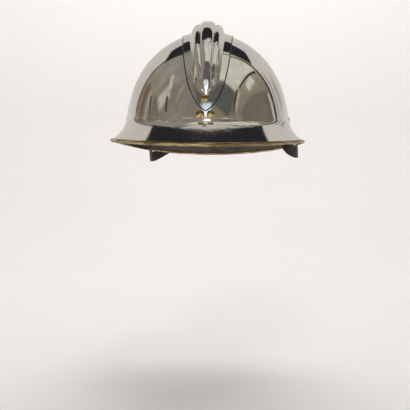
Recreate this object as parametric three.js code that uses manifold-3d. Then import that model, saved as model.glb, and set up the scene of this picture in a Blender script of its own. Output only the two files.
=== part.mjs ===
// A plated steel parade helmet: one pressed shell with a flared brim, a brass bead round its rim,
// a pressed crest with three ribs held by domed rivets, and a leather chin strap stowed over the visor.
// Millimetres. +Z is up, +Y is the wearer's forward and +X the wearer's right.
// The origin is the inside of the crown's top, where the wearer's head carries the helmet.
import * as THREE from "three";
import { mergeVertices } from "three/addons/utils/BufferGeometryUtils.js";
import Module from "manifold-3d";

const wasm = await Module();
wasm.setup();

// The pressed shell
const SHEET = 1.0;
const CROWN_HALF_WIDTH = 95.8;
const CROWN_HALF_LENGTH = 117.6;
const CROWN_HEIGHT = 104.3;
const FOOT_FLARE_SIDE = 2.6; // how far the crown's foot swells before the brim
const FOOT_FLARE_END = 0.4; // the same at the back and the front
const FLARE_REACH = 12; // height over which that swelling fades
const END_DIP = 8; // how much lower the foot sits at the front and the back than at the sides
const BRIM_REACH_SIDE = 16.3;
const BRIM_REACH_BACK = 27.5;
const BRIM_REACH_FRONT = 34.5;
const BRIM_DROP_SIDE = 23;
const BRIM_DROP_BACK = 24;
const BRIM_DROP_FRONT = 26;
const RIM_SLOPE = 53; // degrees from the vertical, at the rim
const CREASE_EASE_SIDE = 0.45; // how gently the brim turns out of the crown, as a share of its drop
const CREASE_EASE_END = 0.16;

// The brass bead round the rim
const BEAD_RADIUS = 2.1;
const BEAD_GAP = 0.4;

// The crest
const CREST_SHEET = 1.0;
const CREST_SEAT = 0.45; // clearance between the crest's flange and the crown
const CREST_BACK_TIP = 84.2; // degrees down the crown from its top
const CREST_FRONT_TIP = 74;
const FLANGE_HALF_WIDTH = 29.5;
const COMB_HALF_WIDTH = 19.5;
const COMB_RISE = 11.8;
const CREST_TIP_WIDTH = 1.6;

// The rivets of the crest
const RIVET_HEAD_RADIUS = 4.4;
const RIVET_HEAD_HEIGHT = 2.6;
const RIVET_SHANK_RADIUS = 1.5;
const RIVET_TAIL_RADIUS = 2.6;
const RIVET_TAIL_HEIGHT = 0.9;
const RIVET_GAP = 0.2; // under the head
const TAIL_GAP = 0.5; // over the tail, where the crown's facets come nearer
const TIP_RIVET_SETBACK = 12.6; // from the crest's tip up its middle line
const BACK_RIVET_DRIFT = -1.7; // the back end's upper rivet was set by hand, left of the middle line
const FOOT_RIVET_ADVANCE = 3.6; // from the crest's tip down towards the brim
const FOOT_RIVET_SPREAD = 5.5; // each side of the middle line

// The studs and hangers that carry the strap
const STUD_HEAD_RADIUS = 3.4;
const STUD_HEAD_HEIGHT = 2.2;
const STUD_HEIGHT = 4; // above the crown's foot
const SHOULDER_RADIUS = 3.0;
const SHOULDER_LENGTH = 4.0;
const HANGER_PLATE = 1.2;
const HANGER_BAR = 3.0;
const HANGER_SLOT = 4.2;
const HANGER_MARGIN = 2.6; // plate left round the slot and the stud
const HANGER_NECK = 1; // plate between the stud's margin and the slot
const RIGHT_HANGER_SWING = 42; // degrees forward from hanging straight down
const LEFT_HANGER_SWING = 78;

// The leather chin strap
const STRAP_WIDTH = 14;
const STRAP_THICKNESS = 1.8;
const STRAP_GAP = 0.45; // to the hanger that it is looped on
const STRAP_REST_GAP = 0.7; // to the visor that it lies on
const STRAP_TAIL = 14; // the folded end that is sewn back on the strap

// Fineness of the faceted solids
const AZIMUTH_STEPS = 60;
const CROWN_ROWS = 12;
const BRIM_ROWS = 5;
const CREST_STEPS = 28;
const ROUND_SIDES = 12;

const TOP_OUTSIDE = new THREE.Vector3(0, 0, SHEET);
const FOOT_LEVEL = SHEET - CROWN_HEIGHT; // height of the crown's foot at the sides
const FULL_TURN = Math.PI * 2;
const radians = THREE.MathUtils.degToRad;

// The crown's outer surface, from its top at tilt 0 to its foot at a right angle.
// Azimuth 0 is the right side, and a right angle is the front.
function crownPoint(tilt, azimuth) {
  const level = CROWN_HEIGHT * Math.cos(tilt);
  const fade = Math.exp(-level / FLARE_REACH);
  const across = Math.sin(tilt) * Math.cos(azimuth);
  const along = Math.sin(tilt) * Math.sin(azimuth);
  return new THREE.Vector3(
    across * (CROWN_HALF_WIDTH + FOOT_FLARE_SIDE * fade),
    along * (CROWN_HALF_LENGTH + FOOT_FLARE_END * fade),
    FOOT_LEVEL + level - END_DIP * along ** 2,
  );
}

// Below zero inside the crown, above zero outside it.
function crownSide(point) {
  const along = point.y / CROWN_HALF_LENGTH;
  const level = point.z - FOOT_LEVEL + END_DIP * along ** 2;
  const fade = Math.exp(-level / FLARE_REACH);
  const across = point.x / (CROWN_HALF_WIDTH + FOOT_FLARE_SIDE * fade);
  const forward = point.y / (CROWN_HALF_LENGTH + FOOT_FLARE_END * fade);
  return across ** 2 + forward ** 2 + (level / CROWN_HEIGHT) ** 2 - 1;
}

// The point of the crown that lies from start in a direction, within a reach.
function dropToCrown(start, direction, reach) {
  const HALVINGS = 40;
  let near = 0;
  let far = reach;
  for (let i = 0; i < HALVINGS; i += 1) {
    const middle = (near + far) / 2;
    const outside = crownSide(start.clone().addScaledVector(direction, middle)) > 0;
    if (outside) near = middle;
    else far = middle;
  }
  return start.clone().addScaledVector(direction, (near + far) / 2);
}

function crownNormal(point) {
  const STEP = 0.01;
  const slope = ["x", "y", "z"].map((axis) => {
    const ahead = point.clone();
    const behind = point.clone();
    ahead[axis] += STEP;
    behind[axis] -= STEP;
    return crownSide(ahead) - crownSide(behind);
  });
  return new THREE.Vector3(...slope).normalize();
}

// A size that differs between the sides, the back and the front, at one azimuth.
function roundTheHead(azimuth, side, back, front) {
  const end = Math.sin(azimuth) < 0 ? back : front;
  return side + (end - side) * Math.sin(azimuth) ** 2;
}

// The brim's curve at one azimuth, as distance outwards against distance down from the crown's foot.
function brimCurve(azimuth) {
  const RIM_EASE = 0.47; // how gently the brim runs out to the rim, as a share of its drop
  const reach = roundTheHead(azimuth, BRIM_REACH_SIDE, BRIM_REACH_BACK, BRIM_REACH_FRONT);
  const drop = roundTheHead(azimuth, BRIM_DROP_SIDE, BRIM_DROP_BACK, BRIM_DROP_FRONT);
  const flare = roundTheHead(azimuth, FOOT_FLARE_SIDE, FOOT_FLARE_END, FOOT_FLARE_END);
  const footSlope = Math.atan(flare / FLARE_REACH);
  const rimSlope = radians(RIM_SLOPE);
  const start = drop * roundTheHead(azimuth, CREASE_EASE_SIDE, CREASE_EASE_END, CREASE_EASE_END);
  const end = drop * RIM_EASE;
  return new THREE.CubicBezierCurve(
    new THREE.Vector2(0, 0),
    new THREE.Vector2(start * Math.sin(footSlope), start * Math.cos(footSlope)),
    new THREE.Vector2(reach - end * Math.sin(rimSlope), drop - end * Math.cos(rimSlope)),
    new THREE.Vector2(reach, drop),
  );
}

function outwards(azimuth) {
  return new THREE.Vector3(
    Math.cos(azimuth) / (CROWN_HALF_WIDTH + FOOT_FLARE_SIDE),
    Math.sin(azimuth) / (CROWN_HALF_LENGTH + FOOT_FLARE_END),
    0,
  ).normalize();
}

// The brim's outer surface, from the crown's foot at run 0 to the rim at run 1.
function brimPoint(run, azimuth) {
  const step = brimCurve(azimuth).getPoint(run);
  const point = crownPoint(Math.PI / 2, azimuth).addScaledVector(outwards(azimuth), step.x);
  point.z -= step.y;
  return point;
}

// A solid through rings of points. An open one ends in a fan from the middle of its first and last ring,
// or from the points given for them.
function loft(rings, { closed = false, start = null, end = null } = {}) {
  const sides = rings[0].length;
  const points = rings.flat();
  const faces = [];
  const joints = closed ? rings.length : rings.length - 1;
  for (let i = 0; i < joints; i += 1) {
    const here = i * sides;
    const next = ((i + 1) % rings.length) * sides;
    for (let j = 0; j < sides; j += 1) {
      const k = (j + 1) % sides;
      faces.push(here + j, here + k, next + k, here + j, next + k, next + j);
    }
  }
  const fan = (first, tip, turned) => {
    const hub = points.push(tip) - 1;
    for (let j = 0; j < sides; j += 1) {
      const k = (j + 1) % sides;
      faces.push(hub, first + (turned ? j : k), first + (turned ? k : j));
    }
  };
  if (!closed) {
    fan(0, start ?? middleOf(rings[0]), false);
    fan((rings.length - 1) * sides, end ?? middleOf(rings.at(-1)), true);
  }
  const geometry = new THREE.BufferGeometry().setFromPoints(points);
  geometry.setIndex(signedVolume(points, faces) < 0 ? faces.reverse() : faces);
  return geometry;
}

function signedVolume(points, faces) {
  let total = 0;
  for (let i = 0; i < faces.length; i += 3) {
    const [a, b, c] = faces.slice(i, i + 3).map((k) => points[k]);
    total += a.dot(b.clone().cross(c));
  }
  return total / 6;
}

function middleOf(points) {
  const sum = points.reduce((total, p) => total.add(p), new THREE.Vector3());
  return sum.divideScalar(points.length);
}

// The other face of a sheet, given one face as rows of points.
function otherFace(rows, thickness, wraps) {
  const width = rows[0].length;
  const pick = (i, j) => {
    const row = rows[THREE.MathUtils.clamp(i, 0, rows.length - 1)];
    return wraps ? row[(j + width) % width] : row[THREE.MathUtils.clamp(j, 0, width - 1)];
  };
  return rows.map((row, i) =>
    row.map((point, j) => {
      const down = pick(i + 1, j).clone().sub(pick(i - 1, j));
      const across = pick(i, j + 1).clone().sub(pick(i, j - 1));
      return point.clone().addScaledVector(down.cross(across).normalize(), -thickness);
    }),
  );
}

// Closed meshes become manifold solids, so that holes can be cut, and come back as geometry.
function solidFrom(geometry) {
  const bare = new THREE.BufferGeometry().setAttribute("position", geometry.getAttribute("position"));
  if (geometry.index) bare.setIndex(geometry.index);
  const merged = mergeVertices(bare, 1e-4);
  const corners = merged.index.array;
  const kept = [];
  for (let i = 0; i < corners.length; i += 3) {
    const [a, b, c] = corners.slice(i, i + 3);
    if (a !== b && b !== c && a !== c) kept.push(a, b, c);
  }
  const mesh = new wasm.Mesh({
    numProp: 3,
    vertProperties: merged.getAttribute("position").array,
    triVerts: new Uint32Array(kept),
  });
  return new wasm.Manifold(mesh);
}

function geometryFrom(solid) {
  const mesh = solid.getMesh();
  const geometry = new THREE.BufferGeometry();
  geometry.setAttribute("position", new THREE.BufferAttribute(mesh.vertProperties, 3));
  geometry.setIndex(new THREE.BufferAttribute(mesh.triVerts, 1));
  geometry.computeVertexNormals();
  return geometry;
}

// A place on the crown: where it is, and the way that it faces.
function seatAt(tilt, across) {
  const onMiddle = crownPoint(Math.abs(tilt), Math.sign(tilt) * Math.PI / 2);
  const inward = crownNormal(onMiddle).negate();
  const start = new THREE.Vector3(across, 0, 0).add(onMiddle);
  const reach = CROWN_HALF_WIDTH / 2;
  const point = Math.abs(across) < 1e-6 ? onMiddle : dropToCrown(start, inward, reach);
  return { point, normal: crownNormal(point) };
}

// How much tilt a distance down the crown's middle line takes, near one tilt.
function tiltOver(distance, tilt) {
  const STEP = 1e-3;
  const azimuth = Math.sign(tilt) * Math.PI / 2;
  const stretch = crownPoint(Math.abs(tilt) + STEP, azimuth).distanceTo(crownPoint(Math.abs(tilt), azimuth));
  return (Math.sign(tilt) * distance * STEP) / stretch;
}

function acrossTheMiddle({ x, y, z }) {
  return new THREE.Vector3(-x, y, z);
}

function turnTo(normal) {
  return new THREE.Quaternion().setFromUnitVectors(new THREE.Vector3(0, 1, 0), normal);
}

// A round hole along a normal, through whatever lies near the point.
function holeAt({ point, normal }, radius) {
  const DEPTH = 14;
  const cutter = new THREE.CylinderGeometry(radius, radius, DEPTH, ROUND_SIDES);
  cutter.applyQuaternion(turnTo(normal));
  cutter.translate(point.x, point.y, point.z);
  return solidFrom(cutter);
}

// The shell
function shellRows() {
  const azimuths = Array.from({ length: AZIMUTH_STEPS }, (_, i) => (i * FULL_TURN) / AZIMUTH_STEPS);
  const rows = [];
  for (let i = 1; i <= CROWN_ROWS; i += 1) {
    const tilt = (i / CROWN_ROWS) * (Math.PI / 2);
    rows.push(azimuths.map((azimuth) => crownPoint(tilt, azimuth)));
  }
  for (let i = 1; i <= BRIM_ROWS; i += 1) {
    rows.push(azimuths.map((azimuth) => brimPoint(i / BRIM_ROWS, azimuth)));
  }
  return rows;
}

function makeShell(holes) {
  const outside = shellRows();
  const inside = otherFace(outside, SHEET, true);
  const rings = [...outside, ...inside.reverse()];
  const pressed = loft(rings, { start: TOP_OUTSIDE, end: new THREE.Vector3(0, 0, 0) });
  return geometryFrom(holes.reduce((shell, hole) => shell.subtract(hole), solidFrom(pressed)));
}

// The bead: a rolled brass strip whose slot takes the brim's edge
function rimFrame(azimuth) {
  const STEP = 1e-3;
  const edge = brimPoint(1, azimuth);
  const run = edge.clone().sub(brimPoint(1 - STEP, azimuth)).normalize();
  const around = brimPoint(1, azimuth + STEP).sub(brimPoint(1, azimuth - STEP)).normalize();
  const face = run.clone().cross(around).normalize();
  return { centre: edge.addScaledVector(face, -SHEET / 2), run, face, around };
}

function makeBead() {
  const slotHalf = SHEET / 2 + BEAD_GAP;
  const mouth = Math.asin(slotHalf / BEAD_RADIUS);
  const arcSteps = ROUND_SIDES - 5;
  const section = [];
  for (let i = 0; i <= arcSteps; i += 1) {
    const angle = -Math.PI + mouth + (i / arcSteps) * (FULL_TURN - 2 * mouth);
    section.push([BEAD_RADIUS * Math.cos(angle), BEAD_RADIUS * Math.sin(angle)]);
  }
  section.push([BEAD_GAP, slotHalf], [BEAD_GAP, -slotHalf]);
  const rings = [];
  for (let i = 0; i < AZIMUTH_STEPS; i += 1) {
    const { centre, run, face } = rimFrame((i * FULL_TURN) / AZIMUTH_STEPS);
    rings.push(
      section.map(([out, up]) => centre.clone().addScaledVector(run, out).addScaledVector(face, up)),
    );
  }
  return loft(rings, { closed: true });
}

// The crest, from its back tip at -1 to its front tip at 1. Widths are shares of the flange's and the
// comb's half-widths, and rise is a share of the comb's height. The ribs are apart at 1 and one boss at 0.
const CREST_STATIONS = [
  { at: -1.0, flange: 0.03, comb: 0.02, rise: 0.0, ribs: 0 },
  { at: -0.975, flange: 0.2, comb: 0.04, rise: 0.0, ribs: 0 },
  { at: -0.94, flange: 0.36, comb: 0.08, rise: 0.0, ribs: 0 },
  { at: -0.888, flange: 0.5, comb: 0.2, rise: 0.0, ribs: 0 },
  { at: -0.85, flange: 0.58, comb: 0.5, rise: 0.26, ribs: 0 },
  { at: -0.8, flange: 0.66, comb: 0.67, rise: 0.44, ribs: 0.15 },
  { at: -0.69, flange: 0.77, comb: 0.77, rise: 0.7, ribs: 0.8 },
  { at: -0.55, flange: 0.86, comb: 0.84, rise: 0.87, ribs: 1 },
  { at: -0.375, flange: 0.93, comb: 0.94, rise: 0.96, ribs: 1 },
  { at: -0.18, flange: 0.98, comb: 0.98, rise: 1.0, ribs: 1 },
  { at: 0.0, flange: 1.0, comb: 1.0, rise: 1.02, ribs: 1 },
  { at: 0.22, flange: 1.0, comb: 1.0, rise: 1.05, ribs: 1 },
  { at: 0.45, flange: 0.95, comb: 0.96, rise: 1.05, ribs: 1 },
  { at: 0.62, flange: 0.87, comb: 0.88, rise: 0.95, ribs: 0.9 },
  { at: 0.75, flange: 0.76, comb: 0.74, rise: 0.62, ribs: 0.2 },
  { at: 0.8, flange: 0.69, comb: 0.58, rise: 0.34, ribs: 0 },
  { at: 0.85, flange: 0.56, comb: 0.2, rise: 0.0, ribs: 0 },
  { at: 0.95, flange: 0.33, comb: 0.06, rise: 0.0, ribs: 0 },
  { at: 1.0, flange: 0.03, comb: 0.02, rise: 0.0, ribs: 0 },
];

// Half of the comb's section, as shares of its half-width and height: a middle rib and one side rib, and the
// one boss that the ribs run together into at both ends.
const COMB_SECTION = [
  { across: 0.0, ribs: 1.0, boss: 1.0 },
  { across: 0.22, ribs: 0.965, boss: 0.92 },
  { across: 0.37, ribs: 0.86, boss: 0.76 },
  { across: 0.45, ribs: 0.67, boss: 0.66 },
  { across: 0.53, ribs: 0.73, boss: 0.58 },
  { across: 0.67, ribs: 0.725, boss: 0.45 },
  { across: 0.84, ribs: 0.56, boss: 0.27 },
  { across: 0.95, ribs: 0.25, boss: 0.08 },
  { across: 1.0, ribs: 0.0, boss: 0.0 },
];
const FLANGE_STEPS = 2;

// The crest's sizes at one place, on smooth curves through the stations.
function crestStation(at) {
  const columns = ["flange", "comb", "rise", "ribs"];
  let i = CREST_STATIONS.findIndex((station) => station.at >= at);
  i = THREE.MathUtils.clamp(i, 1, CREST_STATIONS.length - 1);
  const four = [i - 2, i - 1, i, i + 1].map(
    (k) => CREST_STATIONS[THREE.MathUtils.clamp(k, 0, CREST_STATIONS.length - 1)],
  );
  const share = (at - four[1].at) / (four[2].at - four[1].at);
  const values = columns.map((name) => {
    const [p0, p1, p2, p3] = four.map((station) => new THREE.Vector2(station.at, station[name]));
    const slopeIn = (p2.y - p0.y) / (p2.x - p0.x || 1);
    const slopeOut = (p3.y - p1.y) / (p3.x - p1.x || 1);
    const gap = p2.x - p1.x;
    const t = share;
    const value =
      (2 * t ** 3 - 3 * t ** 2 + 1) * p1.y +
      (t ** 3 - 2 * t ** 2 + t) * gap * slopeIn +
      (-2 * t ** 3 + 3 * t ** 2) * p2.y +
      (t ** 3 - t ** 2) * gap * slopeOut;
    return Math.max(value, 0);
  });
  return {
    flange: Math.max(values[0] * FLANGE_HALF_WIDTH, CREST_TIP_WIDTH / 2),
    comb: Math.max(values[1] * COMB_HALF_WIDTH, CREST_TIP_WIDTH / 4),
    rise: values[2] * COMB_RISE,
    ribs: Math.min(values[3], 1),
  };
}

function crestTilt(at) {
  return at < 0 ? at * radians(CREST_BACK_TIP) : at * radians(CREST_FRONT_TIP);
}

// One row of the crest's outer face, from its right edge to its left edge.
function crestRow(at) {
  const { flange, comb, rise, ribs: apart } = crestStation(at);
  const tilt = crestTilt(at) || 1e-6;
  const up = seatAt(tilt, 0).normal;
  const right = COMB_SECTION.map(({ across, ribs, boss }) => {
    return { x: across * comb, lift: THREE.MathUtils.lerp(boss, ribs, apart) * rise };
  });
  for (let i = 1; i <= FLANGE_STEPS; i += 1) {
    right.push({ x: comb + ((flange - comb) * i) / FLANGE_STEPS, lift: 0 });
  }
  const left = right.slice(1).map(({ x, lift }) => ({ x: -x, lift }));
  return [...right.reverse(), ...left].map(({ x, lift }) => {
    const { point, normal } = seatAt(tilt, x);
    return point.addScaledVector(normal, CREST_SEAT + CREST_SHEET).addScaledVector(up, lift);
  });
}

// Places along the crest, closer together towards its two ends.
function crestPlaces() {
  const CROWDING = 0.3;
  return Array.from({ length: CREST_STEPS + 1 }, (_, i) => {
    const even = (2 * i) / CREST_STEPS - 1;
    return THREE.MathUtils.lerp(even, Math.sin((even * Math.PI) / 2), CROWDING);
  });
}

function makeCrest(holes) {
  const outside = crestPlaces().map(crestRow);
  const inside = otherFace(outside, CREST_SHEET, false);
  const rings = outside.map((row, i) => [...row, ...inside[i].reverse()]);
  const pressed = solidFrom(loft(rings));
  return geometryFrom(holes.reduce((crest, hole) => crest.subtract(hole), pressed));
}

// A domed rivet along +Y. Its head stands on y 0, and grip is what it holds between head and tail.
function rivetGeometry(headRadius, headHeight, grip, shoulder = 0) {
  const HEAD_STEPS = 4;
  const profile = [new THREE.Vector2(0, -grip - RIVET_TAIL_HEIGHT)];
  profile.push(new THREE.Vector2(RIVET_TAIL_RADIUS, -grip - RIVET_TAIL_HEIGHT));
  profile.push(new THREE.Vector2(RIVET_TAIL_RADIUS, -grip));
  profile.push(new THREE.Vector2(RIVET_SHANK_RADIUS, -grip));
  if (shoulder) {
    const shoulderTop = -RIVET_GAP - SHEET - TAIL_GAP;
    profile.push(new THREE.Vector2(RIVET_SHANK_RADIUS, shoulderTop - shoulder));
    profile.push(new THREE.Vector2(SHOULDER_RADIUS, shoulderTop - shoulder));
    profile.push(new THREE.Vector2(SHOULDER_RADIUS, shoulderTop));
    profile.push(new THREE.Vector2(RIVET_SHANK_RADIUS, shoulderTop));
  }
  profile.push(new THREE.Vector2(RIVET_SHANK_RADIUS, 0));
  for (let i = 0; i < HEAD_STEPS; i += 1) {
    const angle = (i / HEAD_STEPS) * (Math.PI / 2);
    profile.push(new THREE.Vector2(headRadius * Math.cos(angle), headHeight * Math.sin(angle)));
  }
  profile.push(new THREE.Vector2(0, headHeight));
  return new THREE.LatheGeometry(profile, ROUND_SIDES);
}

// Where the crest's rivets go. Each end has one through the crest's tip and two beside it.
function crestRivets(end, tipTilt, drift) {
  const tip = radians(tipTilt);
  const places = [
    { name: "tip", tilt: tip - tiltOver(TIP_RIVET_SETBACK, tip), across: drift, through: true },
    { name: "left", tilt: tip + tiltOver(FOOT_RIVET_ADVANCE, tip), across: -FOOT_RIVET_SPREAD },
    { name: "right", tilt: tip + tiltOver(FOOT_RIVET_ADVANCE, tip), across: FOOT_RIVET_SPREAD },
  ];
  return places.map(({ name, tilt, across, through = false }) => {
    const stack = through ? CREST_SEAT + CREST_SHEET : 0;
    return { name: `crest_rivet_${end}_${name}`, seat: seatAt(tilt, across), stack, through };
  });
}

// The hanger that the strap's end is looped on, swung forward as the strap pulls it
function hangerGeometry() {
  const half = STRAP_WIDTH / 2 + STRAP_GAP + HANGER_MARGIN;
  const eye = RIVET_TAIL_RADIUS + HANGER_MARGIN;
  const slotTop = eye + HANGER_NECK;
  const slotBottom = slotTop + HANGER_SLOT;
  const outline = new THREE.Shape();
  outline.moveTo(-half, -slotBottom - HANGER_BAR);
  outline.lineTo(half, -slotBottom - HANGER_BAR);
  outline.lineTo(half, -slotTop + HANGER_MARGIN);
  outline.lineTo(eye, 0);
  outline.absarc(0, 0, eye, 0, Math.PI, false);
  outline.lineTo(-half, -slotTop + HANGER_MARGIN);
  const slot = new THREE.Path();
  const slotHalf = STRAP_WIDTH / 2 + STRAP_GAP;
  slot.moveTo(-slotHalf, -slotBottom);
  slot.lineTo(-slotHalf, -slotTop);
  slot.lineTo(slotHalf, -slotTop);
  slot.lineTo(slotHalf, -slotBottom);
  const bore = new THREE.Path();
  bore.absarc(0, 0, RIVET_SHANK_RADIUS + RIVET_GAP, 0, FULL_TURN, true);
  outline.holes.push(slot, bore);
  return new THREE.ExtrudeGeometry(outline, {
    depth: HANGER_PLATE,
    bevelEnabled: false,
    curveSegments: ROUND_SIDES / 2,
  });
}

// The stud's seat on the crown's right side, and the axes of a hanger there, swung forward by some degrees.
function hangerFrame(degrees) {
  const tilt = Math.acos(STUD_HEIGHT / CROWN_HEIGHT);
  const point = crownPoint(tilt, 0);
  const normal = crownNormal(point);
  const forward = new THREE.Vector3(0, 1, 0);
  const down = forward.clone().cross(normal).normalize();
  if (down.z > 0) down.negate();
  const swing = radians(degrees);
  const run = down.clone().multiplyScalar(Math.cos(swing)).addScaledVector(forward, Math.sin(swing));
  const inward = normal.clone().negate();
  const side = run.clone().cross(inward).normalize();
  const standOff = SHEET + TAIL_GAP + SHOULDER_LENGTH + RIVET_GAP;
  const plate = point.clone().addScaledVector(inward, standOff);
  return { seat: { point, normal }, run, side, inward, plate };
}

// The strap's way round the helmet. It is worked out on the right side, and its left half is mirrored.
// From each hanger it runs inside the shell for some azimuths, crosses under the rim, and then lies on the
// visor. At the crossing it lies so far out from and up from the rim, as shares of the strap's width, and
// lean tips its upper edge inwards. It hangs loose on the right and is drawn forward on the left.
const STRAP_HALVES = {
  right: {
    swing: RIGHT_HANGER_SWING,
    inside: [],
    crossing: [
      { azimuth: 9, out: -0.95, up: -0.4, lean: -14 },
      { azimuth: 12, out: -0.45, up: -0.68, lean: -10 },
      { azimuth: 15, out: 0.04, up: -0.78, lean: -4 },
      { azimuth: 18.5, out: 0.38, up: -0.7, lean: 2 },
      { azimuth: 23, out: 0.53, up: -0.34, lean: 9 },
      { azimuth: 29, out: 0.5, up: 0.12, lean: 20 },
      { azimuth: 35, out: 0.32, up: 0.52, lean: 30 },
      { azimuth: 42, out: -0.06, up: 0.81, lean: 38 },
      { azimuth: 50, out: -0.55, up: 0.93, lean: 42 },
    ],
    seat: [58, 66, 74, 82],
  },
  left: {
    swing: LEFT_HANGER_SWING,
    inside: [20, 28],
    crossing: [
      { azimuth: 35, out: -1.8, up: 0.55, lean: -10 },
      { azimuth: 41, out: -1.25, up: -0.22, lean: -12 },
      { azimuth: 46, out: -0.55, up: -0.66, lean: -8 },
      { azimuth: 50, out: -0.02, up: -0.77, lean: -2 },
      { azimuth: 54, out: 0.33, up: -0.68, lean: 2 },
      { azimuth: 59, out: 0.46, up: -0.32, lean: 10 },
      { azimuth: 64, out: 0.38, up: 0.18, lean: 22 },
      { azimuth: 69, out: 0.14, up: 0.58, lean: 32 },
      { azimuth: 75, out: -0.25, up: 0.84, lean: 39 },
      { azimuth: 81, out: -0.65, up: 0.94, lean: 42 },
    ],
    seat: [],
  },
};
const STRAP_SEAT_RUN = 0.66; // how far down the visor its lower edge lies
const STRAP_INSIDE_GAP = 1.5; // to the crown's foot, where the strap runs inside it
const STRAP_INSIDE_DROP = 3; // of the strap's middle below the crown's foot

function strapInside(azimuth) {
  const inset = SHEET + STRAP_INSIDE_GAP + STRAP_THICKNESS / 2;
  const middle = crownPoint(Math.PI / 2, azimuth).addScaledVector(outwards(azimuth), -inset);
  middle.z -= STRAP_INSIDE_DROP;
  return { middle, width: new THREE.Vector3(0, 0, 1) };
}

function strapAtRim({ azimuth, out, up, lean }) {
  const angle = radians(azimuth);
  const outward = outwards(angle);
  const middle = brimPoint(1, angle).addScaledVector(outward, out * STRAP_WIDTH);
  middle.z += up * STRAP_WIDTH;
  const width = new THREE.Vector3(0, 0, Math.cos(radians(lean)));
  width.addScaledVector(outward, -Math.sin(radians(lean)));
  return { middle, width };
}

// The strap's place on the visor at one azimuth: it bridges the hollow between visor and crown.
function strapOnVisor(azimuth) {
  const low = brimPoint(STRAP_SEAT_RUN, azimuth);
  const STEPS = 60;
  let high = low;
  for (let i = 1; i <= STEPS && high.distanceTo(low) < STRAP_WIDTH; i += 1) {
    const run = STRAP_SEAT_RUN * (1 - i / (STEPS / 2));
    high = run > 0 ? brimPoint(run, azimuth) : crownPoint(Math.PI / 2 + run / 2, azimuth);
  }
  const width = high.clone().sub(low).normalize();
  const around = brimPoint(1, azimuth + 1e-3).sub(brimPoint(1, azimuth - 1e-3)).normalize();
  const off = around.clone().cross(width).normalize();
  if (off.dot(outwards(azimuth)) < 0) off.negate();
  const middle = low.clone().addScaledVector(width, STRAP_WIDTH / 2);
  middle.addScaledVector(off, STRAP_REST_GAP + STRAP_THICKNESS / 2);
  return { middle, width };
}

// The strap's end, folded round the hanger's bar and sewn back on itself
function strapFold({ run, side, inward, plate }) {
  const slotTop = RIVET_TAIL_RADIUS + HANGER_MARGIN + HANGER_NECK;
  const barAt = slotTop + HANGER_SLOT + HANGER_BAR / 2;
  const bar = plate.clone().addScaledVector(run, barAt).addScaledVector(inward, HANGER_PLATE / 2);
  const clear = STRAP_GAP + STRAP_THICKNESS / 2;
  const beside = HANGER_PLATE / 2 + clear;
  const beyond = HANGER_BAR / 2 + clear;
  const together = STRAP_THICKNESS / 2 + STRAP_GAP / 2;
  // Beyond the bar it bends inwards as the crown does.
  const crownBend = CROWN_HALF_LENGTH ** 2 / CROWN_HALF_WIDTH;
  const curl = (along) => (along > 0 ? (along * (bar.y + along / 2)) / crownBend : 0);
  // Each row says how far beyond the bar, and how far inwards from it.
  const fold = [
    { along: STRAP_TAIL, inside: together },
    { along: STRAP_TAIL / 2, inside: together },
    { along: HANGER_BAR, inside: beside * 0.9 },
    { along: 0, inside: beside },
    { along: -beyond * 0.8, inside: beside * 0.85 },
    { along: -beyond * 1.1, inside: 0 },
    { along: -beyond * 0.8, inside: -beside * 0.85 },
    { along: 0, inside: -beside },
    { along: HANGER_BAR, inside: -beside * 0.9 },
    { along: STRAP_TAIL / 2, inside: -together },
    { along: STRAP_TAIL, inside: -together },
  ];
  return fold.map(({ along, inside }) => ({
    middle: bar.clone().addScaledVector(run, along).addScaledVector(inward, inside + curl(along)),
    width: side.clone().multiplyScalar(side.z < 0 ? -1 : 1),
  }));
}

function strapHalf({ swing, inside, crossing, seat }) {
  return [
    ...strapFold(hangerFrame(swing)),
    ...inside.map((azimuth) => strapInside(radians(azimuth))),
    ...crossing.map(strapAtRim),
    ...seat.map((azimuth) => strapOnVisor(radians(azimuth))),
  ];
}

function makeStrap() {
  const left = strapHalf(STRAP_HALVES.left).map(({ middle, width }) => ({
    middle: acrossTheMiddle(middle),
    width: acrossTheMiddle(width),
  }));
  const stations = [...strapHalf(STRAP_HALVES.right), strapOnVisor(Math.PI / 2), ...left.reverse()];
  const middleLine = new THREE.CatmullRomCurve3(stations.map(({ middle }) => middle), false, "centripetal");
  const widthLine = new THREE.CatmullRomCurve3(stations.map(({ width }) => width), false, "centripetal");
  const STEPS_A_STATION = 2;
  const steps = (stations.length - 1) * STEPS_A_STATION;
  const rings = [];
  for (let i = 0; i <= steps; i += 1) {
    const t = i / steps;
    const middle = middleLine.getPoint(t);
    const travel = middleLine.getTangent(t);
    const width = widthLine.getPoint(t);
    width.addScaledVector(travel, -width.dot(travel)).normalize();
    const face = travel.clone().cross(width).normalize();
    const corners = [[1, 1], [1, -1], [-1, -1], [-1, 1]];
    rings.push(
      corners.map(([w, f]) =>
        middle
          .clone()
          .addScaledVector(width, (w * STRAP_WIDTH) / 2)
          .addScaledVector(face, (f * STRAP_THICKNESS) / 2),
      ),
    );
  }
  return loft(rings);
}

// Materials
const plated = new THREE.MeshStandardMaterial({ color: 0xc6c3bd, metalness: 1, roughness: 0.12 });
const brass = new THREE.MeshStandardMaterial({ color: 0xa8874a, metalness: 1, roughness: 0.32 });
const steel = new THREE.MeshStandardMaterial({ color: 0x8d8b87, metalness: 1, roughness: 0.4 });
const leather = new THREE.MeshStandardMaterial({ color: 0x17130f, metalness: 0, roughness: 0.55 });

// Assembly
const helmet = new THREE.Group();

function add(name, geometry, material, parent = helmet) {
  const mesh = new THREE.Mesh(geometry, material);
  mesh.name = name;
  parent.add(mesh);
  return mesh;
}

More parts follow.
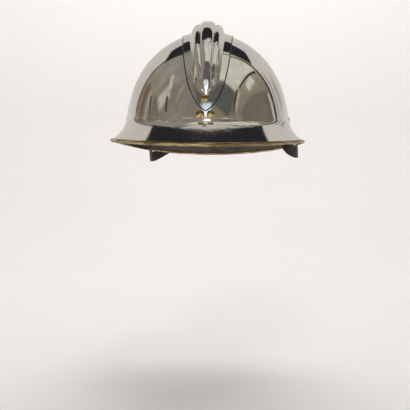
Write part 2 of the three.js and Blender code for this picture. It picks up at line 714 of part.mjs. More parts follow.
const rivets = [
  ...crestRivets("back", -CREST_BACK_TIP, BACK_RIVET_DRIFT),
  ...crestRivets("front", CREST_FRONT_TIP, 0),
];
const rivetBore = RIVET_SHANK_RADIUS + RIVET_GAP;
const rightStud = hangerFrame(0).seat;
const leftStud = { point: acrossTheMiddle(rightStud.point), normal: acrossTheMiddle(rightStud.normal) };
const studSeats = { right: rightStud, left: leftStud };

const crestHoles = rivets.filter(({ through }) => through).map(({ seat }) => holeAt(seat, rivetBore));
const shellHoles = [
  ...rivets.map(({ seat }) => holeAt(seat, rivetBore)),
  ...Object.values(studSeats).map((seat) => holeAt(seat, rivetBore)),
];

add("shell", makeShell(shellHoles), plated);
add("rim_bead", makeBead(), brass);
add("crest", makeCrest(crestHoles), plated);

for (const { name, seat, stack } of rivets) {
  const grip = stack + RIVET_GAP + SHEET + TAIL_GAP;
  const mesh = add(name, rivetGeometry(RIVET_HEAD_RADIUS, RIVET_HEAD_HEIGHT, grip), brass);
  mesh.position.copy(seat.point).addScaledVector(seat.normal, stack + RIVET_GAP);
  mesh.quaternion.copy(turnTo(seat.normal));
}

const studGrip = RIVET_GAP + SHEET + TAIL_GAP + SHOULDER_LENGTH + RIVET_GAP + HANGER_PLATE + RIVET_GAP;
for (const [side, seat] of Object.entries(studSeats)) {
  const geometry = rivetGeometry(STUD_HEAD_RADIUS, STUD_HEAD_HEIGHT, studGrip, SHOULDER_LENGTH);
  const mesh = add(`strap_stud_${side}`, geometry, brass);
  mesh.position.copy(seat.point).addScaledVector(seat.normal, RIVET_GAP);
  mesh.quaternion.copy(turnTo(seat.normal));
}

// A hanger's plate lies in its own X-Y plane: +X is its side, -Y runs to its bar, and +Z is inwards.
for (const [side, { swing }] of Object.entries(STRAP_HALVES)) {
  const { run, inward, plate } = hangerFrame(swing);
  const up = run.clone().negate();
  const axes = new THREE.Matrix4().makeBasis(up.clone().cross(inward), up, inward);
  const half = new THREE.Group();
  const mesh = add(`strap_hanger_${side}`, hangerGeometry(), steel, half);
  mesh.quaternion.setFromRotationMatrix(axes);
  mesh.position.copy(plate);
  if (side === "left") half.scale.x = -1;
  helmet.add(half);
}

add("chin_strap", makeStrap(), leather);

export default helmet;
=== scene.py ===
# %% [markdown]
# A mirror-plated parade helmet, seen from behind
#
# The real helmet is a handful of pressed pieces: one steel shell with a flared brim, a brass strip
# rolled round the rim, a hollow crest with three ribs, six domed rivets, two studs with their hangers,
# and a leather strap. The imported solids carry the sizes. This lesson gives most of them a smooth,
# detailed mesh in the same place, then builds the finishes, and last the studio that they mirror.

# %% Load the frame
import math

import bmesh
import bpy
from mathutils import Matrix, Vector, noise


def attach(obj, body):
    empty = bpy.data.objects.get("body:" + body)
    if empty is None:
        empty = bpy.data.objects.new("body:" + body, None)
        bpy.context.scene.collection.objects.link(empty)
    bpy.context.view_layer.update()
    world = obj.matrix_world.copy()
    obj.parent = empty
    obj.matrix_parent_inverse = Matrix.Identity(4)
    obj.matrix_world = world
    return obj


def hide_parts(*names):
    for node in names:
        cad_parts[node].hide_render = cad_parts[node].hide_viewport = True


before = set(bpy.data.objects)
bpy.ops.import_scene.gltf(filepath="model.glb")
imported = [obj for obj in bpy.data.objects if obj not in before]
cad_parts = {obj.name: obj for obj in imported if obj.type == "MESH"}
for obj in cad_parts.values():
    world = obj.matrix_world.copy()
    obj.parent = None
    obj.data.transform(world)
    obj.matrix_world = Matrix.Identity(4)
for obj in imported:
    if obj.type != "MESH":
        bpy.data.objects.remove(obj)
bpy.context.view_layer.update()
MM = 0.001
print("solids to dress:", len(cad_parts))

# %% [markdown]
# The driving sizes
#
# A pressed shell is one smooth surface, so a formula describes it better than a list of points: half
# an oval egg for the crown, and a curve that turns outwards for the brim. Every other piece sits on
# that surface, so the same few functions also place the crest, the bead, the rivets and the strap.
# The widths and heights repeat those of the solids, in metres.

# %% Sizes of the shell
SHEET = 1 * MM
HALF_WIDTH = 95.8 * MM
HALF_LENGTH = 117.6 * MM
HEIGHT = 104.3 * MM
FLARE_SIDE, FLARE_END = 2.6 * MM, 0.4 * MM
FLARE_REACH = 12 * MM
END_DIP = 8 * MM
BRIM_REACH = {"side": 16.3 * MM, "back": 27.5 * MM, "front": 34.5 * MM}
BRIM_DROP = {"side": 23 * MM, "back": 24 * MM, "front": 26 * MM}
CREASE_EASE = {"side": 0.45, "back": 0.09, "front": 0.16}
RIM_EASE = 0.47
RIM_SLOPE = math.radians(53)
FOOT_LEVEL = SHEET - HEIGHT
QUARTER = math.pi / 2
print(f"crown {2 * HALF_WIDTH / MM:.0f} by {2 * HALF_LENGTH / MM:.0f} mm, {HEIGHT / MM:.0f} mm high")


# %% The crown and the brim as functions
def by_heading(azimuth, sizes):
    """A size that differs between the sides, the back and the front."""
    end = sizes["back"] if math.sin(azimuth) < 0 else sizes["front"]
    return sizes["side"] + (end - sizes["side"]) * math.sin(azimuth) ** 2


def crown_point(tilt, azimuth):
    """The crown's outer surface: tilt 0 is its top, and a right angle is its foot."""
    level = HEIGHT * math.cos(tilt)
    fade = math.exp(-level / FLARE_REACH)
    across = math.sin(tilt) * math.cos(azimuth)
    along = math.sin(tilt) * math.sin(azimuth)
    return Vector((
        across * (HALF_WIDTH + FLARE_SIDE * fade),
        along * (HALF_LENGTH + FLARE_END * fade),
        FOOT_LEVEL + level - END_DIP * along**2,
    ))


def crown_side(point):
    """Below zero inside the crown, above zero outside it."""
    level = point.z - FOOT_LEVEL + END_DIP * (point.y / HALF_LENGTH) ** 2
    fade = math.exp(-level / FLARE_REACH)
    across = point.x / (HALF_WIDTH + FLARE_SIDE * fade)
    along = point.y / (HALF_LENGTH + FLARE_END * fade)
    return across**2 + along**2 + (level / HEIGHT) ** 2 - 1


def crown_normal(point):
    step = 0.01 * MM
    slope = Vector()
    for axis in range(3):
        ahead, behind = point.copy(), point.copy()
        ahead[axis] += step
        behind[axis] -= step
        slope[axis] = crown_side(ahead) - crown_side(behind)
    return slope.normalized()


def outwards(azimuth):
    across = math.cos(azimuth) / (HALF_WIDTH + FLARE_SIDE)
    along = math.sin(azimuth) / (HALF_LENGTH + FLARE_END)
    return Vector((across, along, 0)).normalized()


def brim_point(run, azimuth):
    """The brim's outer surface: run 0 is the crown's foot, and run 1 is the rim."""
    reach = by_heading(azimuth, BRIM_REACH)
    drop = by_heading(azimuth, BRIM_DROP)
    flare = by_heading(azimuth, {"side": FLARE_SIDE, "back": FLARE_END, "front": FLARE_END})
    foot_slope = math.atan(flare / FLARE_REACH)
    start = drop * by_heading(azimuth, CREASE_EASE)
    end = drop * RIM_EASE
    foot_handle = Vector((start * math.sin(foot_slope), start * math.cos(foot_slope)))
    rim = Vector((reach, drop))
    rim_handle = rim - end * Vector((math.sin(RIM_SLOPE), math.cos(RIM_SLOPE)))
    back = 1 - run
    out, down = 3 * back**2 * run * foot_handle + 3 * back * run**2 * rim_handle + run**3 * rim
    point = crown_point(QUARTER, azimuth) + out * outwards(azimuth)
    point.z -= down
    return point


print("rim at the back:", [round(c / MM, 1) for c in brim_point(1, -QUARTER)])


# %% [markdown]
# Small helpers
#
# Two habits keep the meshes simple. A round piece is spun in a plain unit form first, and each of its
# points is then moved to its place by a function. And every finished mesh becomes an object at the
# origin, smooth, with its doubles merged and its faces pointing outwards.

# %% Helpers for meshes
SAME_PLACE = 1e-6


def new_object(name, data):
    made = bpy.data.objects.new(name, data)
    bpy.context.scene.collection.objects.link(made)
    return made


def mesh_object(bm, name, materials):
    """Turns a bmesh into a smooth object."""
    for face in bm.faces:
        face.smooth = True
    mesh = bpy.data.meshes.new(name)
    bm.to_mesh(mesh)
    bm.free()
    for material in materials:
        mesh.materials.append(material)
    print(f"{name}: {len(mesh.vertices)} points, {len(mesh.polygons)} faces")
    return new_object(name, mesh)


def finish_piece(bm, name, materials, replaces, open_below=False):
    """Turns a bmesh into an object that stands for some solids."""
    bmesh.ops.remove_doubles(bm, verts=bm.verts, dist=SAME_PLACE)
    bmesh.ops.recalc_face_normals(bm, faces=bm.faces)
    top = max(bm.faces, key=lambda face: face.calc_center_median().z)
    if open_below and top.normal.z < 0:
        bmesh.ops.reverse_faces(bm, faces=bm.faces)
    piece = mesh_object(bm, name, materials)
    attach(piece, "root")
    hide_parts(*replaces)
    return piece


def spin_outline(outline, steps, closed=False):
    """Spins an outline, given as (distance from the axis, height), a full turn round the Z axis."""
    bm = bmesh.new()
    verts = [bm.verts.new((out, 0, up)) for out, up in outline]
    pairs = list(zip(verts, verts[1:]))
    if closed:
        pairs.append((verts[-1], verts[0]))
    edges = [bm.edges.new(pair) for pair in pairs]
    bmesh.ops.spin(
        bm, geom=verts + edges, cent=(0, 0, 0), axis=(0, 0, 1), dvec=(0, 0, 0),
        angle=2 * math.pi, steps=steps, space=Matrix.Identity(4), use_merge=True,
    )
    bmesh.ops.remove_doubles(bm, verts=bm.verts, dist=SAME_PLACE)
    return bm


def thicken(sheet, thickness, **settings):
    """Gives an open sheet its wall, on the side away from its faces' fronts."""
    wall = sheet.modifiers.new("Sheet", "SOLIDIFY")
    wall.thickness = thickness
    wall.offset = -1
    for key, value in settings.items():
        setattr(wall, key, value)


# %% Helpers for tables of sizes
def table(columns, *rows):
    """Rows of numbers, each with the names of its columns."""
    return [dict(zip(columns.split(), row)) for row in rows]


def cubic(t, start, end, slope_in, slope_out):
    """A smooth curve from start to end, with its slope at both, read at a share t of the way."""
    return (
        (2 * t**3 - 3 * t**2 + 1) * start + (t**3 - 2 * t**2 + t) * slope_in
        + (-2 * t**3 + 3 * t**2) * end + (t**3 - t**2) * slope_out
    )


def smooth_table(rows, at, column, key="at"):
    """Reads a column of a table on a smooth curve through its rows."""
    last = len(rows) - 1
    i = next((k for k, row in enumerate(rows) if row[key] >= at), last)
    i = min(max(i, 1), last)
    near = [rows[min(max(k, 0), last)] for k in (i - 2, i - 1, i, i + 1)]
    x = [row[key] for row in near]
    y = [row[column] for row in near]
    gap = x[2] - x[1]
    slope_in = gap * (y[2] - y[0]) / (x[2] - x[0])
    slope_out = gap * (y[3] - y[1]) / (x[3] - x[1])
    return max(cubic((at - x[1]) / gap, y[1], y[2], slope_in, slope_out), 0)


# %% [markdown]
# Shader helpers
#
# The finishes share three effects: soft smudges where hands have been, fine scratches that cross the
# polish, and tarnish that gathers in blotches. Each is a node group with named inputs and outputs, so
# that every material can use it with its own values. The groups put out masks and heights only. The
# shader itself stays in the material.

# %% Helpers for nodes
def feed(socket, value):
    """Gives an input its value: a number, a vector, a colour, or the output of another node."""
    if isinstance(value, bpy.types.NodeSocket):
        socket.id_data.links.new(value, socket)
    elif socket.type == "RGBA":
        socket.default_value = (*value, 1)
    else:
        socket.default_value = value


def node(tree, kind, inputs=None, **settings):
    """A node with its settings, and with values for its inputs by their names or numbers."""
    made = tree.nodes.new(kind)
    for key, value in settings.items():
        setattr(made, key, value)
    for which, value in (inputs or {}).items():
        feed(made.inputs[which], value)
    return made


def node_after(kind, inputs, **settings):
    """A node in the same tree as the other nodes that it takes its inputs from."""
    source = next(value for value in inputs.values() if isinstance(value, bpy.types.NodeSocket))
    return node(source.id_data, kind, inputs, **settings)


def math_node(operation, *values, clamp=False):
    inputs = dict(enumerate(values))
    return node_after("ShaderNodeMath", inputs, operation=operation, use_clamp=clamp).outputs[0]


def vector_node(operation, *values):
    return node_after("ShaderNodeVectorMath", dict(enumerate(values)), operation=operation).outputs


def times(a, b):
    return math_node("MULTIPLY", a, b)


def plus(total, *others):
    """The sum of two or more values."""
    for value in others:
        total = math_node("ADD", total, value)
    return total


def split(vector):
    """A vector's X, Y and Z."""
    return node_after("ShaderNodeSeparateXYZ", {"Vector": vector}).outputs


def stretched(vector, scale, turn=(0, 0, 0)):
    """A vector that is turned and scaled. A pattern on it is finer where the scale is larger."""
    inputs = {"Vector": vector, "Scale": scale, "Rotation": turn}
    return node_after("ShaderNodeMapping", inputs).outputs["Vector"]


def noise_node(vector, scale, detail=3, roughness=0.5, distortion=0):
    inputs = {"Vector": vector, "Scale": scale, "Detail": detail, "Roughness": roughness}
    inputs["Distortion"] = distortion
    return node_after("ShaderNodeTexNoise", inputs).outputs["Fac"]


def ramp(value, stops):
    """A colour ramp whose stops are (place, colour or grey)."""
    made = node_after("ShaderNodeValToRGB", {"Fac": value})
    elements = made.color_ramp.elements
    while len(elements) < len(stops):
        elements.new(0.5)
    for element, (place, colour) in zip(elements, stops):
        element.position = place
        element.color = (*colour, 1) if isinstance(colour, tuple) else (colour, colour, colour, 1)
    return made.outputs["Color"]


def mix_colour(factor, a, b, blend="MIX"):
    inputs = {0: factor, 6: a, 7: b}
    return node_after("ShaderNodeMix", inputs, data_type="RGBA", blend_type=blend).outputs[2]


# %% Helpers for groups and materials
def new_group(name, numbers, outputs):
    """A node group, and the sockets inside it. It is given a vector and some numbers by name."""
    tree = bpy.data.node_groups.new(name, "ShaderNodeTree")
    tree.interface.new_socket("Vector", in_out="INPUT", socket_type="NodeSocketVector")
    for title, default in numbers.items():
        socket = tree.interface.new_socket(title, in_out="INPUT", socket_type="NodeSocketFloat")
        socket.default_value = default
    for title in outputs:
        tree.interface.new_socket(title, in_out="OUTPUT", socket_type="NodeSocketFloat")
    return tree, node(tree, "NodeGroupInput").outputs, node(tree, "NodeGroupOutput").inputs


def use_group(group, vector, **values):
    """Places a group in a material, with its vector linked and its other inputs set by name."""
    return node_after("ShaderNodeGroup", {"Vector": vector, **values}, node_tree=group).outputs


def new_material(name, **shader_values):
    """A material, its tree, its shader and a place on the piece. The values are the same all over."""
    material = bpy.data.materials.new(name)
    material.use_nodes = True
    tree = material.node_tree
    shader = tree.nodes["Principled BSDF"]
    for title, value in shader_values.items():
        shader.inputs[title.replace("_", " ")].default_value = value
    return material, tree, shader, node(tree, "ShaderNodeTexCoord").outputs["Object"]


def finish_material(shader, colour, rough, height, depth, strength=1):
    """Links what changes over the surface to the shader. The height becomes a bump."""
    feed(shader.inputs["Base Color"], colour)
    feed(shader.inputs["Roughness"], rough)
    inputs = {"Height": height, "Distance": depth, "Strength": strength}
    feed(shader.inputs["Normal"], node_after("ShaderNodeBump", inputs).outputs["Normal"])


# %% The smudge group
smudges, given, wanted = new_group("Smudges", {"Scale": 20}, ["Mask"])
broad = noise_node(given["Vector"], given["Scale"], 4, 0.62, 0.6)
feed(wanted["Mask"], ramp(broad, [(0.42, 0), (0.72, 1)]))

# %% The scratch group
# Scratches are stretched noise, cut down to thin lines, in two directions.
scratches, given, wanted = new_group("Scratches", {"Scale": 60}, ["Mask"])
lines = []
for turn, scale in (((0.3, 0.5, 0.9), (1, 26, 2)), ((1.2, -0.4, 0.2), (22, 1, 1.5))):
    place = stretched(given["Vector"], scale, turn)
    streaks = noise_node(place, given["Scale"], 2)
    lines.append(ramp(streaks, [(0.66, 0), (0.7, 1), (0.74, 0)]))
feed(wanted["Mask"], math_node("ADD", *lines, clamp=True))

# %% The tarnish group
tarnish, given, wanted = new_group("Tarnish", {"Scale": 60, "Reach": 0.5}, ["Mask", "Grain"])
blotches = noise_node(given["Vector"], given["Scale"], 5, 0.65, 0.8)
reached = plus(blotches, math_node("SUBTRACT", given["Reach"], 0.5))
feed(wanted["Mask"], ramp(reached, [(0.42, 0), (0.62, 1)]))
grain = noise_node(given["Vector"], times(given["Scale"], 14), 3, 0.6)
feed(wanted["Grain"], grain)
print("groups:", [group.name for group in bpy.data.node_groups])


# %% [markdown]
# The plating
#
# Nickel over polished steel is a warm mirror. What makes it look real is how little is wrong with it:
# a slow waviness left by the press, smudges that turn the mirror slightly milky, and hairline
# scratches. The waviness is a bump of less than half a millimetre spread over centimetres, because a
# mirror doubles every slope.

# %% Plating materials
def plating(name, waviness, wave_scale):
    """A plated material with its tree, shader and place, and its colour, roughness and waves so far."""
    material, tree, shader, place = new_material(name, Metallic=1)
    smudge = use_group(smudges, place, Scale=17)["Mask"]
    hairline = use_group(scratches, place, Scale=48)["Mask"]
    fine = noise_node(place, 900, 2)
    colour = mix_colour(smudge, (0.80, 0.785, 0.76), (0.73, 0.715, 0.69))
    colour = mix_colour(times(hairline, 0.35), colour, (0.5, 0.49, 0.47))
    rough = plus(times(smudge, 0.05), times(hairline, 0.14))
    rough = plus(rough, times(fine, 0.03), 0.035)
    wave = times(noise_node(place, wave_scale, 2, 0.45, 0.3), waviness)
    return material, tree, shader, place, colour, rough, wave


# The crease between crown and brim was worked over by hand, so the mirror ripples there.
RIPPLE_REACH = 14 * MM
shell_plating, _, shader, place, colour, rough, wave = plating("Dome plating", 0.32, 16)
axes = split(place)
dip = times(times(axes["Y"], axes["Y"]), END_DIP / HALF_LENGTH**2)
above_foot = math_node("SUBTRACT", axes["Z"], math_node("SUBTRACT", FOOT_LEVEL, dip))
from_crease = times(math_node("ABSOLUTE", above_foot), 1 / RIPPLE_REACH)
by_crease = ramp(from_crease, [(0.2, 1), (1, 0)])
ripple = times(noise_node(place, 85, 2), by_crease)
finish_material(shader, colour, rough, plus(wave, times(ripple, 0.16)), 1 * MM)

# Polishing drew streaks along the crest's ribs. Beside the flange's edge the colour is darkened, partly as
# grime and partly as painted shade of the gap under the edge.
SEAM_REACH = 2 * MM
crest_plating, tree, shader, _, colour, rough, wave = plating("Crest plating", 0.3, 34)
pressed_place = node(tree, "ShaderNodeAttribute", attribute_name="along_and_across").outputs["Vector"]
streak = noise_node(stretched(pressed_place, (22, 420, 1)), 1, 2)
wave = plus(wave, times(streak, 0.05))
edge_gap = node(tree, "ShaderNodeAttribute", attribute_name="to_edge").outputs["Fac"]
seam = ramp(times(edge_gap, 1 / SEAM_REACH), [(0.4, 1), (0.75, 0)])
# The dark colour near the flange's edge is partly grime and partly painted shade of the gap beneath it.
colour = mix_colour(seam, colour, (0.03, 0.024, 0.018))
finish_material(shader, colour, plus(rough, times(seam, 0.3)), wave, 1 * MM)


# %% Duller metals: the crest's cut edge, the shell's inside and the hangers
def spotted(name, metallic, spots, colours, roughness, depth, strength=1):
    """Metal with spots of tarnish. Its roughness follows the named output of the tarnish."""
    material, _, shader, place = new_material(name, Metallic=metallic)
    made = use_group(tarnish, place, **spots)
    output, gain, least = roughness
    rough = plus(times(made[output], gain), least)
    colour = mix_colour(made["Mask"], *colours)
    finish_material(shader, colour, rough, made["Grain"], depth, strength)
    return material


# The crest's cut edge is dark partly from grime and partly as painted shade, to draw the dark line at the
# flange's edge.
seam_grime_and_shade = spotted(
    "Seam grime and shade", 0.6, {"Scale": 220, "Reach": 0.55}, [(0.12, 0.105, 0.085), (0.02, 0.016, 0.012)],
    ("Grain", 0.2, 0.45), 0.04 * MM,
)
# The shell's inside is dark partly from tarnish and partly as painted shade inside the shell.
inside_metal_and_shade = spotted(
    "Dome inside and shade", 0.35, {"Scale": 34, "Reach": 0.45}, [(0.075, 0.058, 0.045), (0.03, 0.02, 0.015)],
    ("Grain", 0.25, 0.42), 0.05 * MM, 0.6,
)
hanger_steel = spotted(
    "Hanger steel", 1, {"Scale": 160, "Reach": 0.4}, [(0.5, 0.49, 0.47), (0.2, 0.12, 0.07)],
    ("Mask", 0.3, 0.32), 0.04 * MM,
)
print("plating and dull metals:", [material.name for material in bpy.data.materials])


# %% [markdown]
# The brass
#
# The bead and the rivets are bare brass that has been polished for years. It is bright where a cloth
# reaches, and brown in the blotches that it misses. The bead is also uneven, because the strip was
# rolled round the edge by hand, so its own mesh wobbles a little further down.

# %% Brass materials
def brass(name, bright, brown, reach, scale, drawn=(1, 1, 1)):
    """Stained brass. Its stains are finer along an axis where drawn is more than one."""
    material, _, shader, place = new_material(name, Metallic=1)
    place = stretched(place, drawn)
    stain = use_group(tarnish, place, Scale=scale, Reach=reach)
    hairline = use_group(scratches, place, Scale=130)["Mask"]
    pale = noise_node(place, scale * 3.1)
    colour = mix_colour(pale, bright, tuple(min(1, c * 1.18) for c in bright))
    colour = mix_colour(stain["Mask"], colour, brown)
    rough = plus(times(stain["Mask"], 0.28), times(hairline, 0.12), 0.12)
    height = plus(stain["Grain"], times(pale, 2.2))
    finish_material(shader, colour, rough, height, 0.07 * MM)
    return material


bead_brass = brass("Bead brass", (0.63, 0.5, 0.29), (0.17, 0.115, 0.05), 0.56, 90, (0.32, 0.32, 3.4))
rivet_brass = brass("Rivet brass", (0.55, 0.41, 0.2), (0.13, 0.08, 0.035), 0.5, 170)
print("brass:", bead_brass.name, rivet_brass.name)

# %% [markdown]
# The leather
#
# The strap is black harness leather. Its face is smooth with a fine pebble grain, it is creased across
# where it bends, and its cut edges show brown. The pattern follows the strap's own UV map, with U in
# metres along it and V in metres across it, so that the creases and the edge lines follow it.

# %% Leather material
STRAP_WIDTH = 14 * MM
strap_leather, tree, shader, place = new_material("Strap leather", Specular_IOR_Level=0.28)
uv = node(tree, "ShaderNodeUVMap", uv_map="Along and across").outputs["UV"]
pebbles = node(tree, "ShaderNodeTexVoronoi", {"Vector": place, "Scale": 1400}, feature="SMOOTH_F1")
creases = noise_node(stretched(uv, (620, 60, 60)), 1, 3, 0.6, 0.5)
creases = ramp(creases, [(0.5, 1), (0.62, 0)])
from_middle = math_node("ABSOLUTE", split(uv)["Y"])
edge = ramp(math_node("DIVIDE", from_middle, STRAP_WIDTH / 2), [(0.88, 0), (0.985, 1)])
groove = math_node("ABSOLUTE", math_node("SUBTRACT", from_middle, STRAP_WIDTH * 0.39))
groove = ramp(math_node("DIVIDE", groove, 1 * MM), [(0.25, 0), (0.55, 1)])
rubbed = use_group(smudges, place, Scale=70)["Mask"]
colour = mix_colour(rubbed, (0.01, 0.009, 0.0085), (0.026, 0.021, 0.018))
worn = times(edge, noise_node(place, 260))
colour = mix_colour(worn, colour, (0.16, 0.085, 0.045))
rough = plus(times(rubbed, 0.16), 0.42, times(edge, 0.2))
height = plus(times(pebbles.outputs["Distance"], 0.5), times(creases, 0.9))
height = plus(height, times(groove, 1.6))
finish_material(shader, colour, rough, height, 0.12 * MM)
print("leather:", strap_leather.name)


# %% [markdown]
# The shell
#
# A press draws the crown and the brim from one disc. The mesh does the same: a unit outline, a quarter
# circle for the crown and a straight slope for the brim, is spun round the Z axis, and each point then
# moves to where the crown or the brim has it. The Solidify modifier gives the sheet its thickness
# inwards, and puts the inner wall in the duller material, which is darkened partly by tarnish and partly as
# painted shade.

# %% Spin and press the shell
CROWN_ROWS, BRIM_ROWS, TURN_STEPS = 56, 30, 216
tilts = [i / CROWN_ROWS * QUARTER for i in range(CROWN_ROWS + 1)]
outline = [(math.sin(tilt), math.cos(tilt)) for tilt in tilts]
outline += [(1 + i / BRIM_ROWS, -i / BRIM_ROWS) for i in range(1, BRIM_ROWS + 1)]
bm = spin_outline(outline, TURN_STEPS)
for vert in bm.verts:
    out = math.hypot(vert.co.x, vert.co.y)
    azimuth = math.atan2(vert.co.y, vert.co.x)
    if vert.co.z >= -SAME_PLACE:
        vert.co = crown_point(math.atan2(out, max(vert.co.z, 0)), azimuth)
    else:
        vert.co = brim_point(-vert.co.z, azimuth)
shell = finish_piece(
    bm, "shell_skin", [shell_plating, inside_metal_and_shade], ["shell"], open_below=True,
)
thicken(shell, SHEET, use_even_offset=True, material_offset=1)


# %% [markdown]
# The bead
#
# The brim's raw edge is covered by a brass strip rolled into a bead. Its section is a circle with a slot
# that takes the edge. The section is spun far from the axis, so that each point's distance from there
# tells how far it lies from the edge, and is then carried to the true rim. A little noise along the rim
# makes it as uneven as the hand-rolled one.

# %% Spin the bead's section and carry it to the rim
BEAD_RADIUS = 2.1 * MM
BEAD_GAP = 0.4 * MM
BEAD_SIDES = 26
BEAD_STEPS = 360
SPIN_RADIUS = 1
LUMPS_PER_METRE = 130
LUMP_DEPTH = 0.07


def along_rim(azimuth):
    step = 1e-3
    return (brim_point(1, azimuth + step) - brim_point(1, azimuth - step)).normalized()


def rim_frame(azimuth):
    """The middle of the sheet's edge, the way that the brim runs there, and its outer face's normal."""
    edge = brim_point(1, azimuth)
    run = (edge - brim_point(1 - 1e-3, azimuth)).normalized()
    face = run.cross(along_rim(azimuth)).normalized()
    return edge - face * SHEET / 2, run, face


slot_half = SHEET / 2 + BEAD_GAP
mouth = math.asin(slot_half / BEAD_RADIUS)
sweep = 2 * (math.pi - mouth)
angles = [-math.pi + mouth + i / BEAD_SIDES * sweep for i in range(BEAD_SIDES + 1)]
section = [(BEAD_RADIUS * math.cos(a), BEAD_RADIUS * math.sin(a)) for a in angles]
section += [(BEAD_GAP, slot_half), (BEAD_GAP, -slot_half)]
bm = spin_outline([(SPIN_RADIUS + out, up) for out, up in section], BEAD_STEPS, closed=True)
for vert in bm.verts:
    azimuth = math.atan2(vert.co.y, vert.co.x)
    out = math.hypot(vert.co.x, vert.co.y) - SPIN_RADIUS
    up = vert.co.z
    centre, run, face = rim_frame(azimuth)
    on_the_circle = math.hypot(out, up) > 0.9 * BEAD_RADIUS
    if on_the_circle:
        here = centre * LUMPS_PER_METRE
        lump = noise.noise(here + Vector((0, 0, 2 * math.atan2(up, out)))) + 0.6 * noise.noise(here * 2.7)
        out *= 1 + LUMP_DEPTH * lump
        up *= 1 + LUMP_DEPTH * lump
    vert.co = centre + run * out + face * up
finish_piece(bm, "bead_strip", [bead_brass], ["rim_bead"])


# %% [markdown]
# The crest
#
# The crest is its own pressed sheet: a flange that hugs the crown, and a hollow comb of three ribs that
# run together into a boss at both ends. A flat grid is moved to place row by row. One table says how
# wide the flange and the comb are along the crest, and how high it stands. Another says how the section
# rises across it, with its ribs apart and run together. The comb was finished by hand, so two tenths of
# a millimetre of noise, drawn out along the ribs, break up what they mirror.

# %% Tables of the crest
# Along the crest, -1 is the tip at the back and 1 the tip at the front. The flange, the comb and the rise
# are shares of their largest sizes. Where ribs is 1 they are apart, and middle is the middle rib's share.
CREST_SHEET = 1 * MM
CREST_SEAT = 0.45 * MM
BACK_TIP, FRONT_TIP = math.radians(84.2), math.radians(74)
FLANGE_HALF_WIDTH = 29.5 * MM
COMB_HALF_WIDTH = 19.5 * MM
COMB_RISE = 11.8 * MM
CREST_STATIONS = table(
    "at flange comb rise ribs middle",
    (-1, 0.03, 0.02, 0, 0, 0.44), (-0.975, 0.2, 0.04, 0, 0, 0.44),
    (-0.94, 0.36, 0.08, 0, 0, 0.44), (-0.91, 0.45, 0.15, 0, 0, 0.44),
    (-0.888, 0.5, 0.26, 0.05, 0, 0.44), (-0.85, 0.58, 0.48, 0.18, 0, 0.46),
    (-0.8, 0.66, 0.66, 0.36, 0.1, 0.43), (-0.74, 0.72, 0.725, 0.55, 0.5, 0.36),
    (-0.69, 0.77, 0.77, 0.7, 0.8, 0.38), (-0.55, 0.86, 0.84, 0.87, 1, 0.44),
    (-0.375, 0.93, 0.94, 0.96, 1, 0.45), (-0.18, 0.98, 0.98, 1, 1, 0.45),
    (0, 1, 1, 1.02, 1, 0.45), (0.22, 1, 1, 1.05, 1, 0.45),
    (0.45, 0.95, 0.96, 1.05, 1, 0.45), (0.62, 0.87, 0.88, 0.95, 0.9, 0.42),
    (0.75, 0.76, 0.74, 0.62, 0.2, 0.4), (0.8, 0.69, 0.58, 0.34, 0, 0.44),
    (0.85, 0.56, 0.2, 0, 0, 0.44), (0.95, 0.33, 0.06, 0, 0, 0.44),
    (1, 0.03, 0.02, 0, 0, 0.44),
)
# Across the comb, 0 is its middle line and 1 its foot. The middle rib ends at the groove.
GROOVE = 0.45
BEYOND_FOOT = 1.05
COMB_SECTION = table(
    "across ribs boss",
    (0, 1, 1), (0.12, 0.99, 0.996), (0.24, 0.955, 0.975), (0.33, 0.895, 0.93),
    (0.39, 0.81, 0.875), (0.425, 0.715, 0.835), (GROOVE, 0.665, 0.8), (0.475, 0.695, 0.765),
    (0.53, 0.735, 0.69), (0.6, 0.745, 0.59), (0.69, 0.72, 0.465), (0.79, 0.63, 0.325),
    (0.88, 0.48, 0.215), (0.94, 0.29, 0.12), (0.98, 0.09, 0.045), (1.01, 0.02, 0.01),
    (BEYOND_FOOT, 0, 0),
)


# %% The crest's place on the crown, and its section
def seat_at(tilt, across):
    """A place on the crown, given its tilt along the middle line and its distance from that line."""
    on_middle = crown_point(abs(tilt), math.copysign(QUARTER, tilt))
    inward = -crown_normal(on_middle)
    step = 0.01 * MM
    point = on_middle + Vector((across, 0, 0))
    for _ in range(12):
        value = crown_side(point)
        slope = (crown_side(point + inward * step) - value) / step
        point -= inward * (value / slope)
    return point, crown_normal(point)


def comb_lift(share, middle, apart):
    """Height of the comb's section at a share of its half-width, with its middle rib so wide."""
    if share < middle:
        across = share / middle * GROOVE
    else:
        across = GROOVE + (share - middle) / (1 - middle) * (1 - GROOVE)
    across = min(across, BEYOND_FOOT)
    ribs = smooth_table(COMB_SECTION, across, "ribs", "across")
    boss = smooth_table(COMB_SECTION, across, "boss", "across")
    return boss + (ribs - boss) * min(apart, 1)


# %% Lay the crest's grid on the crown
ACROSS_STEPS = 128
ALONG_STEPS = 230
COMB_SHARE = 0.76
EDGE_SHARE = 0.96
FLANGE_EDGE_DROP = 0.3 * MM
HAND_WORK = 0.22 * MM
EVEN_SPACING = 0.72
NEAR_TOP = 1e-6
LEAST_FLANGE, LEAST_COMB = 0.8 * MM, 0.4 * MM
